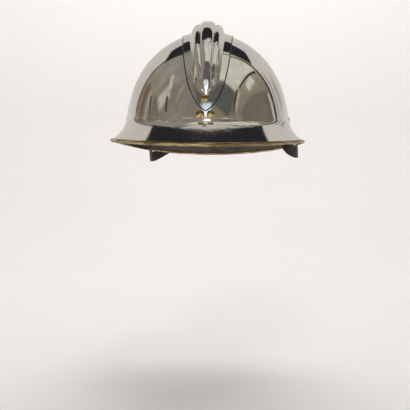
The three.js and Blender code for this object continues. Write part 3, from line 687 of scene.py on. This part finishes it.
# Two layers of marks from hand work: how fine they are across and along, an offset, and their share.
HAND_MARKS = [(150, 7, 0.3, 1), (260, 26, 4.1, 0.5)]
bm = bmesh.new()
bmesh.ops.create_grid(bm, x_segments=ACROSS_STEPS, y_segments=ALONG_STEPS, size=1)
to_edge = bm.verts.layers.float.new("to_edge")
pressed = bm.verts.layers.float_vector.new("along_and_across")
rows = {}
for vert in bm.verts:
    rows.setdefault(round(vert.co.y, 6), []).append(vert)
for at, row in rows.items():
    # The rows crowd together towards both tips.
    at = EVEN_SPACING * at + (1 - EVEN_SPACING) * math.sin(at * QUARTER)
    tilt = at * (BACK_TIP if at < 0 else FRONT_TIP) or NEAR_TOP
    names = ("flange", "comb", "rise", "ribs", "middle")
    flange, comb, rise, apart, middle = [smooth_table(CREST_STATIONS, at, name) for name in names]
    flange = max(flange * FLANGE_HALF_WIDTH, LEAST_FLANGE)
    comb = max(comb * COMB_HALF_WIDTH, LEAST_COMB)
    rise *= COMB_RISE
    up = seat_at(tilt, 0)[1]
    for vert in row:
        share = abs(vert.co.x)
        side = math.copysign(1, vert.co.x)
        if share < COMB_SHARE:
            across = share / COMB_SHARE * comb
        else:
            across = comb + (share - COMB_SHARE) / (1 - COMB_SHARE) * (flange - comb)
        lift = comb_lift(across / comb, middle, apart) * rise
        uneven = 0
        for fine, long, offset, part in HAND_MARKS:
            uneven += part * noise.noise(Vector((side * across * fine, at * long, offset)))
        # The marks fade out where the comb is low, and at its foot.
        lift += uneven * HAND_WORK * min(1, rise / (3 * MM)) * min(1, max(0, 1.1 - across / comb) * 4)
        edge = max(0, (share - EDGE_SHARE) / (1 - EDGE_SHARE))
        seat, normal = seat_at(tilt, side * across)
        vert.co = seat + normal * (CREST_SEAT + CREST_SHEET - edge**2 * FLANGE_EDGE_DROP) + up * lift
        vert[to_edge] = flange - across
        vert[pressed] = (tilt * HALF_LENGTH, side * across, 0)
crest = finish_piece(
    bm, "crest_skin", [crest_plating, seam_grime_and_shade], ["crest"], open_below=True,
)
thicken(crest, CREST_SHEET, use_even_offset=False, material_offset_rim=1)
top_face = max(crest.data.polygons, key=lambda face: face.center.z)
print("crest's outer face points up:", top_face.normal.z > 0)


# %% [markdown]
# The rivets and studs
#
# Each rivet is turned: a domed head with a thin skirt, a shank through the sheets, and a clenched tail
# inside. One outline is spun for each, and a matrix stands it on the crown with its axis along the
# surface's normal, where the solids have it.

# %% Outlines and seats of the rivets
RIVET = {"head": 4.4 * MM, "height": 2.6 * MM, "shank": 1.5 * MM, "tail": 2.6 * MM, "clench": 0.9 * MM}
STUD = {**RIVET, "head": 3.4 * MM, "height": 2.2 * MM}
RIVET_SKIRT = 0.35 * MM
RIVET_GAP = 0.2 * MM
RIVET_STEPS = 40
TAIL_GAP = 0.5 * MM
TIP_SETBACK = 12.6 * MM
BACK_DRIFT = -1.7 * MM
FOOT_ADVANCE = 3.6 * MM
FOOT_SPREAD = 5.5 * MM
STUD_HEIGHT = 4 * MM
SHOULDER_RADIUS, SHOULDER_LENGTH = 3 * MM, 4 * MM
HANGER_PLATE = 1.2 * MM


def rivet_outline(sizes, grip, shoulder=0):
    """From the tail's middle up to the top of the head, with the head's foot at height 0."""
    head, height, shank, tail, clench = sizes.values()
    points = [(0, -grip - clench), (tail * 0.6, -grip - clench * 0.95)]
    points += [(tail, -grip - clench * 0.35), (tail * 0.97, -grip), (shank, -grip)]
    if shoulder:
        top = -RIVET_GAP - SHEET - TAIL_GAP
        points += [(shank, top - shoulder), (SHOULDER_RADIUS, top - shoulder)]
        points += [(SHOULDER_RADIUS, top), (shank, top)]
    points += [(shank, 0), (head * 0.97, 0), (head, RIVET_SKIRT * 0.4)]
    dome_steps = 12
    for i in range(1, dome_steps):
        angle = i / dome_steps * QUARTER
        out = head * 0.985 * math.cos(angle) ** 0.92
        points.append((out, RIVET_SKIRT + (height - RIVET_SKIRT) * math.sin(angle)))
    return points + [(0, height)]


def tilt_over(distance, tilt):
    """How much tilt a distance down the crown's middle line takes, near one tilt."""
    step = 1e-3
    azimuth = math.copysign(QUARTER, tilt)
    stretch = (crown_point(abs(tilt) + step, azimuth) - crown_point(abs(tilt), azimuth)).length
    return math.copysign(distance * step / stretch, tilt)


def stand_rivet(name, outline, seat, normal, stack, replaced):
    """Spins a rivet and stands it on the sheets that are stacked at a place on the crown."""
    bm = spin_outline(outline, RIVET_STEPS)
    turn = Vector((0, 0, 1)).rotation_difference(normal).to_matrix().to_4x4()
    place = Matrix.Translation(seat + normal * (stack + RIVET_GAP)) @ turn
    bmesh.ops.transform(bm, matrix=place, verts=bm.verts)
    finish_piece(bm, name, [rivet_brass], [replaced])


# %% Stand the crest's six rivets
for end, tip, drift in (("back", -BACK_TIP, BACK_DRIFT), ("front", FRONT_TIP, 0)):
    for where, tilt, across in (
        ("tip", tip - tilt_over(TIP_SETBACK, tip), drift),
        ("left", tip + tilt_over(FOOT_ADVANCE, tip), -FOOT_SPREAD),
        ("right", tip + tilt_over(FOOT_ADVANCE, tip), FOOT_SPREAD),
    ):
        stack = CREST_SEAT + CREST_SHEET if where == "tip" else 0
        seat, normal = seat_at(tilt, across)
        outline = rivet_outline(RIVET, stack + RIVET_GAP + SHEET + TAIL_GAP)
        stand_rivet(f"rivet_{end}_{where}", outline, seat, normal, stack, f"crest_rivet_{end}_{where}")

# %% Stand the two side studs
stud_tilt = math.acos(STUD_HEIGHT / HEIGHT)
stud_grip = RIVET_GAP + SHEET + TAIL_GAP + SHOULDER_LENGTH + RIVET_GAP + HANGER_PLATE + RIVET_GAP
for side, azimuth in (("right", 0), ("left", math.pi)):
    seat = crown_point(stud_tilt, azimuth)
    outline = rivet_outline(STUD, stud_grip, SHOULDER_LENGTH)
    stand_rivet(f"stud_{side}", outline, seat, crown_normal(seat), 0, f"strap_stud_{side}")

# %% Finish the two hangers
# The hangers are flat stamped plates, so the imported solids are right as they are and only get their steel.
for side in ("left", "right"):
    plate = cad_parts[f"strap_hanger_{side}"]
    plate.data.materials.clear()
    plate.data.materials.append(hanger_steel)
print("hangers finished")


# %% [markdown]
# The chin strap
#
# The strap is stowed over the visor. It leaves the right hanger loosely, dips under the rim, curls up
# round it and lies along the foot of the crown in front. On the left it is drawn forward inside the
# shell before it crosses. The same stations as in the solid give its middle line and the way its width
# points. A long box with rounded edges is cut into short lengths and bent onto that line.

# %% Stations of the strap
# A crossing goes round the rim. Its azimuth and lean are in degrees, and it lies so many strap widths out
# and up from the rim. The swing turns the hanger forward. Inside and seat are azimuths of more stations.
STRAP_THICKNESS = 1.8 * MM
STRAP_GAP, STRAP_REST_GAP = 0.45 * MM, 0.7 * MM
STRAP_TAIL = 14 * MM
HANGER_BAR, HANGER_SLOT, HANGER_MARGIN, HANGER_NECK = 3 * MM, 4.2 * MM, 2.6 * MM, 1 * MM
STRAP_SEAT_RUN = 0.66
STRAP_INSIDE_GAP, STRAP_INSIDE_DROP = 1.5 * MM, 3 * MM
RIGHT_HALF = {
    "swing": 42, "inside": [], "seat": [58, 66, 74, 82],
    "crossing": table(
        "azimuth out up lean",
        (9, -0.95, -0.4, -14), (12, -0.45, -0.68, -10), (15, 0.04, -0.78, -4),
        (18.5, 0.38, -0.7, 2), (23, 0.53, -0.34, 9), (29, 0.5, 0.12, 20),
        (35, 0.32, 0.52, 30), (42, -0.06, 0.81, 38), (50, -0.55, 0.93, 42),
    ),
}
LEFT_HALF = {
    "swing": 78, "inside": [20, 28], "seat": [],
    "crossing": table(
        "azimuth out up lean",
        (35, -1.8, 0.55, -10), (41, -1.25, -0.22, -12), (46, -0.55, -0.66, -8), (50, -0.02, -0.77, -2),
        (54, 0.33, -0.68, 2), (59, 0.46, -0.32, 10), (64, 0.38, 0.18, 22),
        (69, 0.14, 0.58, 32), (75, -0.25, 0.84, 39), (81, -0.65, 0.94, 42),
    ),
}


def strap_fold(swing):
    """The strap's end, folded round the hanger's bar and sewn back on itself."""
    seat = crown_point(stud_tilt, 0)
    normal = crown_normal(seat)
    down = Vector((0, 1, 0)).cross(normal).normalized()
    down = -down if down.z > 0 else down
    run = down * math.cos(swing) + Vector((0, 1, 0)) * math.sin(swing)
    side = run.cross(-normal).normalized()
    side = -side if side.z < 0 else side
    plate = seat - normal * (SHEET + TAIL_GAP + SHOULDER_LENGTH + RIVET_GAP)
    slot_top = RIVET["tail"] + HANGER_MARGIN + HANGER_NECK
    bar = plate + run * (slot_top + HANGER_SLOT + HANGER_BAR / 2) - normal * HANGER_PLATE / 2
    clear = STRAP_GAP + STRAP_THICKNESS / 2
    beside, beyond = HANGER_PLATE / 2 + clear, HANGER_BAR / 2 + clear
    together = STRAP_THICKNESS / 2 + STRAP_GAP / 2
    inner = [(STRAP_TAIL, together), (STRAP_TAIL / 2, together), (HANGER_BAR, 0.9 * beside), (0, beside)]
    inner += [(-0.8 * beyond, 0.85 * beside)]
    fold = inner + [(-1.1 * beyond, 0)] + [(along, -inwards) for along, inwards in reversed(inner)]
    bend = HALF_LENGTH**2 / HALF_WIDTH
    stations = []
    for along, inwards in fold:
        curl = along * (bar.y + along / 2) / bend if along > 0 else 0
        stations.append((bar + run * along - normal * (inwards + curl), side))
    return stations


def strap_inside(azimuth):
    inset = SHEET + STRAP_INSIDE_GAP + STRAP_THICKNESS / 2
    middle = crown_point(QUARTER, azimuth) - inset * outwards(azimuth)
    middle.z -= STRAP_INSIDE_DROP
    return middle, Vector((0, 0, 1))


def strap_at_rim(azimuth, out, up, lean):
    azimuth, lean = math.radians(azimuth), math.radians(lean)
    middle = brim_point(1, azimuth) + out * STRAP_WIDTH * outwards(azimuth)
    middle.z += up * STRAP_WIDTH
    return middle, Vector((0, 0, math.cos(lean))) - math.sin(lean) * outwards(azimuth)


def strap_on_visor(azimuth):
    """The strap bridges the hollow between the visor and the crown."""
    low = brim_point(STRAP_SEAT_RUN, azimuth)
    high, steps, i = low, 60, 0
    while (high - low).length < STRAP_WIDTH and i < steps:
        i += 1
        run = STRAP_SEAT_RUN * (1 - i / (steps / 2))
        high = brim_point(run, azimuth) if run > 0 else crown_point(QUARTER + run / 2, azimuth)
    width = (high - low).normalized()
    off = along_rim(azimuth).cross(width).normalized()
    off = -off if off.dot(outwards(azimuth)) < 0 else off
    return low + width * STRAP_WIDTH / 2 + off * (STRAP_REST_GAP + STRAP_THICKNESS / 2), width


def strap_half(half):
    stations = strap_fold(math.radians(half["swing"]))
    stations += [strap_inside(math.radians(azimuth)) for azimuth in half["inside"]]
    stations += [strap_at_rim(**row) for row in half["crossing"]]
    return stations + [strap_on_visor(math.radians(azimuth)) for azimuth in half["seat"]]


across_middle = Matrix.Scale(-1, 3, Vector((1, 0, 0)))
left_half = [(across_middle @ middle, across_middle @ width) for middle, width in strap_half(LEFT_HALF)]
stations = strap_half(RIGHT_HALF) + [strap_on_visor(QUARTER)] + left_half[::-1]
print("stations of the strap:", len(stations))


# %% A smooth line through the stations
def through(points, t):
    """A centripetal curve through points, read at a share t of the way along them."""
    place = min(t * (len(points) - 1), len(points) - 1 - 1e-9)
    i = int(place)
    p1, p2 = points[i], points[i + 1]
    p0 = points[i - 1] if i > 0 else 2 * p1 - p2
    p3 = points[i + 2] if i + 2 < len(points) else 2 * p2 - p1
    d0, d1, d2 = [max((b - a).length ** 0.5, 1e-4) for a, b in ((p0, p1), (p1, p2), (p2, p3))]
    slope_in = ((p1 - p0) / d0 - (p2 - p0) / (d0 + d1) + (p2 - p1) / d1) * d1
    slope_out = ((p2 - p1) / d1 - (p3 - p1) / (d1 + d2) + (p3 - p2) / d2) * d1
    return cubic(place - i, p1, p2, slope_in, slope_out)


LINE_STEPS = 1600
middles = [middle for middle, _ in stations]
widths = [width for _, width in stations]
line = [through(middles, i / LINE_STEPS) for i in range(LINE_STEPS + 1)]
lengths = [0]
for a, b in zip(line, line[1:]):
    lengths.append(lengths[-1] + (b - a).length)
STRAP_LENGTH = lengths[-1]
print(f"the strap is {STRAP_LENGTH / MM:.0f} mm long")

# %% Box, rounded edges, short lengths, and the bend onto the line
STRAP_CUTS = 420
STRAP_ROUNDING = 0.55 * MM
bm = bmesh.new()
bmesh.ops.create_cube(bm, size=1)
bmesh.ops.scale(bm, vec=(STRAP_LENGTH, STRAP_WIDTH, STRAP_THICKNESS), verts=bm.verts)


def span(edge, axis):
    return abs(edge.verts[0].co[axis] - edge.verts[1].co[axis])


long_edges = [edge for edge in bm.edges if span(edge, 0) > STRAP_LENGTH / 2]
bmesh.ops.bevel(
    bm, geom=long_edges, offset=STRAP_ROUNDING, affect="EDGES", segments=3, profile=0.5, material=-1,
)
wide = [edge for edge in bm.edges if span(edge, 0) < SAME_PLACE and span(edge, 1) > STRAP_WIDTH / 2]
bmesh.ops.subdivide_edges(bm, edges=wide, cuts=5, use_grid_fill=True)
long_edges = [edge for edge in bm.edges if span(edge, 0) > STRAP_LENGTH / 2]
bmesh.ops.subdivide_edges(bm, edges=long_edges, cuts=STRAP_CUTS, use_grid_fill=True)
uv_layer = bm.loops.layers.uv.new("Along and across")
for face in bm.faces:
    for loop in face.loops:
        loop[uv_layer].uv = (loop.vert.co.x + STRAP_LENGTH / 2, loop.vert.co.y)


def strap_frame(distance):
    """The strap's middle, and the ways of its width and its face, at a distance along it."""
    distance = min(max(distance, 0), STRAP_LENGTH)
    i = next(k for k in range(1, len(lengths)) if lengths[k] >= distance - 1e-12)
    share = (distance - lengths[i - 1]) / (lengths[i] - lengths[i - 1])
    t = (i - 1 + share) / LINE_STEPS
    step = 1 / LINE_STEPS
    travel = (through(middles, min(t + step, 1)) - through(middles, max(t - step, 0))).normalized()
    width = through(widths, t)
    width = (width - travel * width.dot(travel)).normalized()
    return through(middles, t), width, travel.cross(width).normalized()


frames = {}
for vert in bm.verts:
    key = round(vert.co.x, 7)
    if key not in frames:
        frames[key] = strap_frame(vert.co.x + STRAP_LENGTH / 2)
    middle, width, face = frames[key]
    vert.co = middle + width * vert.co.y + face * vert.co.z
finish_piece(bm, "strap_leather", [strap_leather], ["chin_strap"])

# %% [markdown]
# The camera
#
# The photographer stood behind the helmet, a little below its rim, about seven tenths of a metre away.
# The real helmet is tipped back a few degrees. The part stays level here, so the camera takes the
# opposite tilt, which gives the same picture.

# %% Place the camera
DISTANCE = 696.4 * MM
RAISED = 101.05 * MM
SIDEWAYS = 3.3 * MM
ROLL, YAW, PITCH = math.radians(0.575), math.radians(-1.3), math.radians(3.88)
LENS, SENSOR = 50, 36
held = Matrix.Rotation(ROLL, 4, "Y") @ Matrix.Rotation(YAW, 4, "Z") @ Matrix.Rotation(PITCH, 4, "X")
foot = Vector((0, 0, FOOT_LEVEL))
camera_data = bpy.data.cameras.new("Camera")
camera_data.lens = LENS
camera_data.sensor_width = SENSOR
camera = new_object("Camera", camera_data)
looking = Matrix.Translation((0, -DISTANCE, 0)) @ Matrix.Rotation(QUARTER, 4, "X")
moved = Matrix.Translation((SIDEWAYS, 0, RAISED)) @ held @ Matrix.Translation(-foot)
camera.matrix_world = moved.inverted() @ looking
bpy.context.scene.camera = camera
print("camera at", [round(c, 3) for c in camera.matrix_world.translation])

# %% [markdown]
# The studio
#
# A mirror shows its surroundings more than itself, so the studio is part of the finish. It is plain: a
# pale sweep below and behind, and soft lights. The drawing on the plating comes from a greyer room on the
# camera's side, the dark gap above the backdrop, and a door, shelf and curtain. The world shader paints
# these on a map of the sky.

# %% The world: a flat map of the sky
# The map's middle is straight up and the horizon is 90 degrees from it. P runs to the right of the
# picture and Q runs towards the camera, both in degrees.
world = bpy.data.worlds.new("Studio")
bpy.context.scene.world = world
world.use_nodes = True
sky = world.node_tree
sky.nodes.clear()
TO_DEGREES = 180 / math.pi
direction = node(sky, "ShaderNodeTexCoord").outputs["Generated"]
from_top = times(math_node("ARCCOSINE", split(direction)["Z"]), TO_DEGREES)
level = vector_node("MULTIPLY", direction, (1, -1, 0))["Vector"]
heading = vector_node("NORMALIZE", level)["Vector"]
scaled = node(sky, "ShaderNodeVectorMath", {"Vector": heading, "Scale": from_top}, operation="SCALE")
sky_map = scaled.outputs["Vector"]
p_axis, q_axis, _ = split(sky_map)
heading_angle = times(math_node("ARCTAN2", p_axis, q_axis), TO_DEGREES)


def fade(value, start, end):
    """0 before start and 1 after end, softly. With start above end it is the other way round."""
    inputs = {"Value": value, "From Min": min(start, end), "From Max": max(start, end)}
    if start > end:
        inputs.update({"To Min": 1, "To Max": 0})
    return node(sky, "ShaderNodeMapRange", inputs, interpolation_type="SMOOTHSTEP").outputs["Result"]


def band(value, start, end, soft):
    """1 between start and end, with soft edges around both."""
    rising = fade(value, start - soft / 2, start + soft / 2)
    return times(rising, fade(value, end + soft / 2, end - soft / 2))


def panel_mask(centre, half, turn, soft):
    """A soft-edged rectangle on the map."""
    inputs = {"Vector": sky_map, "Location": (*centre, 0), "Rotation": (0, 0, math.radians(turn))}
    placed = node(sky, "ShaderNodeMapping", inputs, vector_type="TEXTURE").outputs["Vector"]
    masks = []
    for axis, reach in zip(split(placed), half):
        from_centre = math_node("ABSOLUTE", axis)
        masks.append(fade(from_centre, reach + soft / 2, reach - soft / 2))
    return times(*masks)


# %% The world: the room
# Each panel has its centre, its half-sizes, its turn, the width of its soft edge, and its colour.
PALE = (0.66, 0.64, 0.54)
BLACK = (0.028, 0.024, 0.02)
PANELS = {
    "left wall": ((-45, 45), (34, 44), 0, 16, (0.26, 0.222, 0.185)),
    "ceiling, left": ((-28, -4), (15, 24), 0, 8, (0.3, 0.29, 0.25)),
    "ceiling, right": ((27, 3), (15, 27), 0, 5, PALE),
    "ceiling, middle": ((0, 4), (13, 26), 0, 9, (0.72, 0.69, 0.59)),
    "pale pillar": ((49, 1), (3.6, 9), -14, 4, PALE),
    "dark corner": ((68, 6), (9, 34), 0, 5, (0.185, 0.162, 0.122)),
    "right strip": ((67, -30), (8, 2.2), -26, 2, PALE),
    "dark doorway": ((31, 47), (14, 17), 8, 5, (0.118, 0.12, 0.108)),
    "door's edge": ((45.5, 39), (1.2, 14), -17, 1.2, BLACK),
    "door's light": ((48.6, 37), (1.4, 12), -17, 2, (0.5, 0.47, 0.38)),
    "ceiling's edge": ((43, 0), (1, 21), 0, 1, BLACK),
    "brown curtain": ((-65, -29), (11, 4.2), 24, 4, (0.2, 0.12, 0.092)),
    "curtain's light": ((-69, -17), (9, 3), 14, 3, (0.4, 0.375, 0.305)),
    "dark pole": ((-70, -9), (7, 1.2), -29, 1.4, BLACK),
    "dark shelf": ((-69, 6), (6, 9), -10, 4, (0.19, 0.165, 0.125)),
    "bright shelf": ((-59, 14), (10, 7), 28, 6, (0.53, 0.5, 0.44)),
    "shelf's shadow": ((-61, 24), (7, 1.9), -41, 1.8, (0.06, 0.042, 0.03)),
    "bright fold": ((-44, 11), (8, 2.6), -51, 2.5, (0.6, 0.57, 0.5)),
    "second fold": ((-40, 33), (10, 2.2), -32, 3, (0.36, 0.325, 0.28)),
    "dark screen": ((1, 47), (19, 14), 0, 9, (0.115, 0.112, 0.108)),
    "blue daylight": ((0, 67), (8.5, 6), 0, 5, (0.78, 0.95, 1.04)),
}
HORIZON = 90
ROOM_TONES = [
    (0, (0.4, 0.38, 0.32)), (0.4, (0.34, 0.31, 0.25)),
    (0.75, (0.255, 0.228, 0.172)), (1, (0.25, 0.22, 0.17)),
]
colour = ramp(times(from_top, 1 / HORIZON), ROOM_TONES)
for *place, tone in PANELS.values():
    colour = mix_colour(panel_mask(*place), colour, tone)
mottle = ramp(noise_node(direction, 5, 3, 0.55, 0.6), [(0.35, 0.86), (0.7, 1.1)])
colour = mix_colour(1, colour, mottle, "MULTIPLY")
print("things in the room:", len(PANELS))

# %% The world: the backdrop and the dark gap over it
# The backdrop fills the sky beyond the helmet, between two dark edges. A rail crosses it at the right.
PAPER = (0.62, 0.585, 0.54)
DARK_EDGES = {(118.5, 122.5): BLACK, (-128.5, -125.5): (0.09, 0.075, 0.06)}
for (start, end), tone in DARK_EDGES.items():
    stripe = times(band(heading_angle, start, end, 1), fade(from_top, 84, 76))
    colour = mix_colour(stripe, colour, tone)
backdrop = math_node("MAXIMUM", fade(heading_angle, 121.5, 123.5), fade(heading_angle, -127, -130))
colour = mix_colour(backdrop, colour, PAPER)
rail = times(fade(from_top, 52, 60), fade(from_top, 82, 76))
rail = times(band(heading_angle, 126.5, 129, 1), rail)
colour = mix_colour(times(rail, 0.75), colour, (0.1, 0.085, 0.07))
# The gap is a dark band across the picture. Its near edge bends, and its far corners are cut off.
GAP_BEND = 0.0095
from_middle = math_node("ABSOLUTE", p_axis)
near_edge = plus(q_axis, times(times(p_axis, p_axis), GAP_BEND))
corner_cut = math_node("SUBTRACT", from_middle, q_axis)
gap = times(fade(q_axis, -38, -35.5), fade(near_edge, -10, -13))
gap = times(times(gap, fade(corner_cut, 63, 60.5)), fade(from_middle, 42, 39.5))
colour = mix_colour(gap, colour, (0.022, 0.022, 0.025))
blotch = times(panel_mask((47, -54), (6, 7), 30, 8), 0.5)
colour = mix_colour(blotch, colour, (0.2, 0.18, 0.15))

# %% The world: the floor, and what the camera sees
# Low down, a bright floor lies all round, with one lamp in front of it. Seen directly, the surroundings
# are one even pale tone. Only lighting and reflections see the room.
SURROUND_TONE = (0.93, 0.92, 0.915)
floor_tone = mix_colour(fade(q_axis, 20, 70), (0.66, 0.64, 0.59), (1.05, 1, 0.86))
colour = mix_colour(fade(from_top, 77, 80), colour, floor_tone)
colour = mix_colour(panel_mask((1, 73), (6, 3), 0, 3), colour, (1.7, 1.72, 1.7))
seen = node(sky, "ShaderNodeLightPath").outputs["Is Camera Ray"]
colour = mix_colour(seen, colour, SURROUND_TONE)
background = node(sky, "ShaderNodeBackground", {"Color": colour, "Strength": 1})
node(sky, "ShaderNodeOutputWorld", {"Surface": background.outputs["Background"]})
print("world nodes:", len(sky.nodes))

# %% The sweep's paper
# Far from the part the paper takes on the tone of the surroundings, so that no edge shows from any side.
FADE_START, FADE_END = 1.8, 3.8
NONE = (0, 0, 0)
paper_material, _, shader, place = new_material("Backdrop paper", Roughness=0.9, Emission_Strength=1)
colour = mix_colour(noise_node(place, 3), (0.855, 0.845, 0.87), (0.895, 0.885, 0.91))
level = vector_node("MULTIPLY", place, (1, 1, 0))["Vector"]
distance = vector_node("LENGTH", level)["Value"]
far = math_node("DIVIDE", distance, FADE_END)
far = ramp(far, [(FADE_START / FADE_END, 0), (1, 1)])
feed(shader.inputs["Base Color"], mix_colour(far, colour, NONE))
feed(shader.inputs["Emission Color"], mix_colour(far, NONE, SURROUND_TONE))

# %% The pale sweep
FLOOR_LEVEL = -0.46
SWEEP_BEHIND = 1.5
SWEEP_BEND = 0.5
SWEEP_HEIGHT = 1.6
SWEEP_REACH = 7
bm = bmesh.new()
start = bm.verts.new((-SWEEP_REACH, -SWEEP_REACH, FLOOR_LEVEL))
flat_end = bm.verts.new((-SWEEP_REACH, SWEEP_BEHIND - SWEEP_BEND, FLOOR_LEVEL))
bm.edges.new((start, flat_end))
centre = (-SWEEP_REACH, SWEEP_BEHIND - SWEEP_BEND, FLOOR_LEVEL + SWEEP_BEND)
turned = bmesh.ops.spin(
    bm, geom=[flat_end], cent=centre, axis=(1, 0, 0), dvec=(0, 0, 0), angle=QUARTER, steps=24,
    space=Matrix.Identity(4), use_merge=False,
)
last = next(item for item in turned["geom_last"] if isinstance(item, bmesh.types.BMVert))
wall_top = bm.verts.new((last.co.x, last.co.y, last.co.z + SWEEP_HEIGHT))
bm.edges.new((last, wall_top))
swept = bmesh.ops.extrude_edge_only(bm, edges=list(bm.edges))
far_side = [item for item in swept["geom"] if isinstance(item, bmesh.types.BMVert)]
bmesh.ops.translate(bm, vec=(2 * SWEEP_REACH, 0, 0), verts=far_side)
bmesh.ops.recalc_face_normals(bm, faces=bm.faces)
sweep_object = mesh_object(bm, "sweep", [paper_material])
sweep_object.visible_glossy = False


# %% Soft lights
def soft_light(name, place, aim, size, power, colour):
    """A lamp that lights the scene, but shows neither in mirrors nor in the picture."""
    data = bpy.data.lights.new(name, "AREA")
    data.shape = "RECTANGLE"
    data.size, data.size_y = size
    data.energy = power
    data.color = colour
    lamp = new_object(name, data)
    lamp.location = place
    lamp.rotation_euler = (Vector(aim) - Vector(place)).to_track_quat("-Z", "Y").to_euler()
    lamp.visible_glossy = False
    lamp.visible_camera = False


soft_light("Backdrop wash", (0, 0.2, 1.9), (0, 1.5, 0.2), (2.4, 0.8), 30, (1, 0.98, 0.95))
soft_light("Window", (-0.35, -2.2, 1.5), (0, 0, -0.05), (0.22, 0.5), 9, (1, 0.98, 0.94))
soft_light("Overhead", (0.3, -0.9, 1.7), (0, 0, 0), (0.5, 0.25), 4, (1, 0.97, 0.92))
print("lights:", len(bpy.data.lights))

# %% Picture settings
settings = bpy.context.scene.view_settings
settings.view_transform = "Standard"
settings.look = "None"
settings.exposure = 0
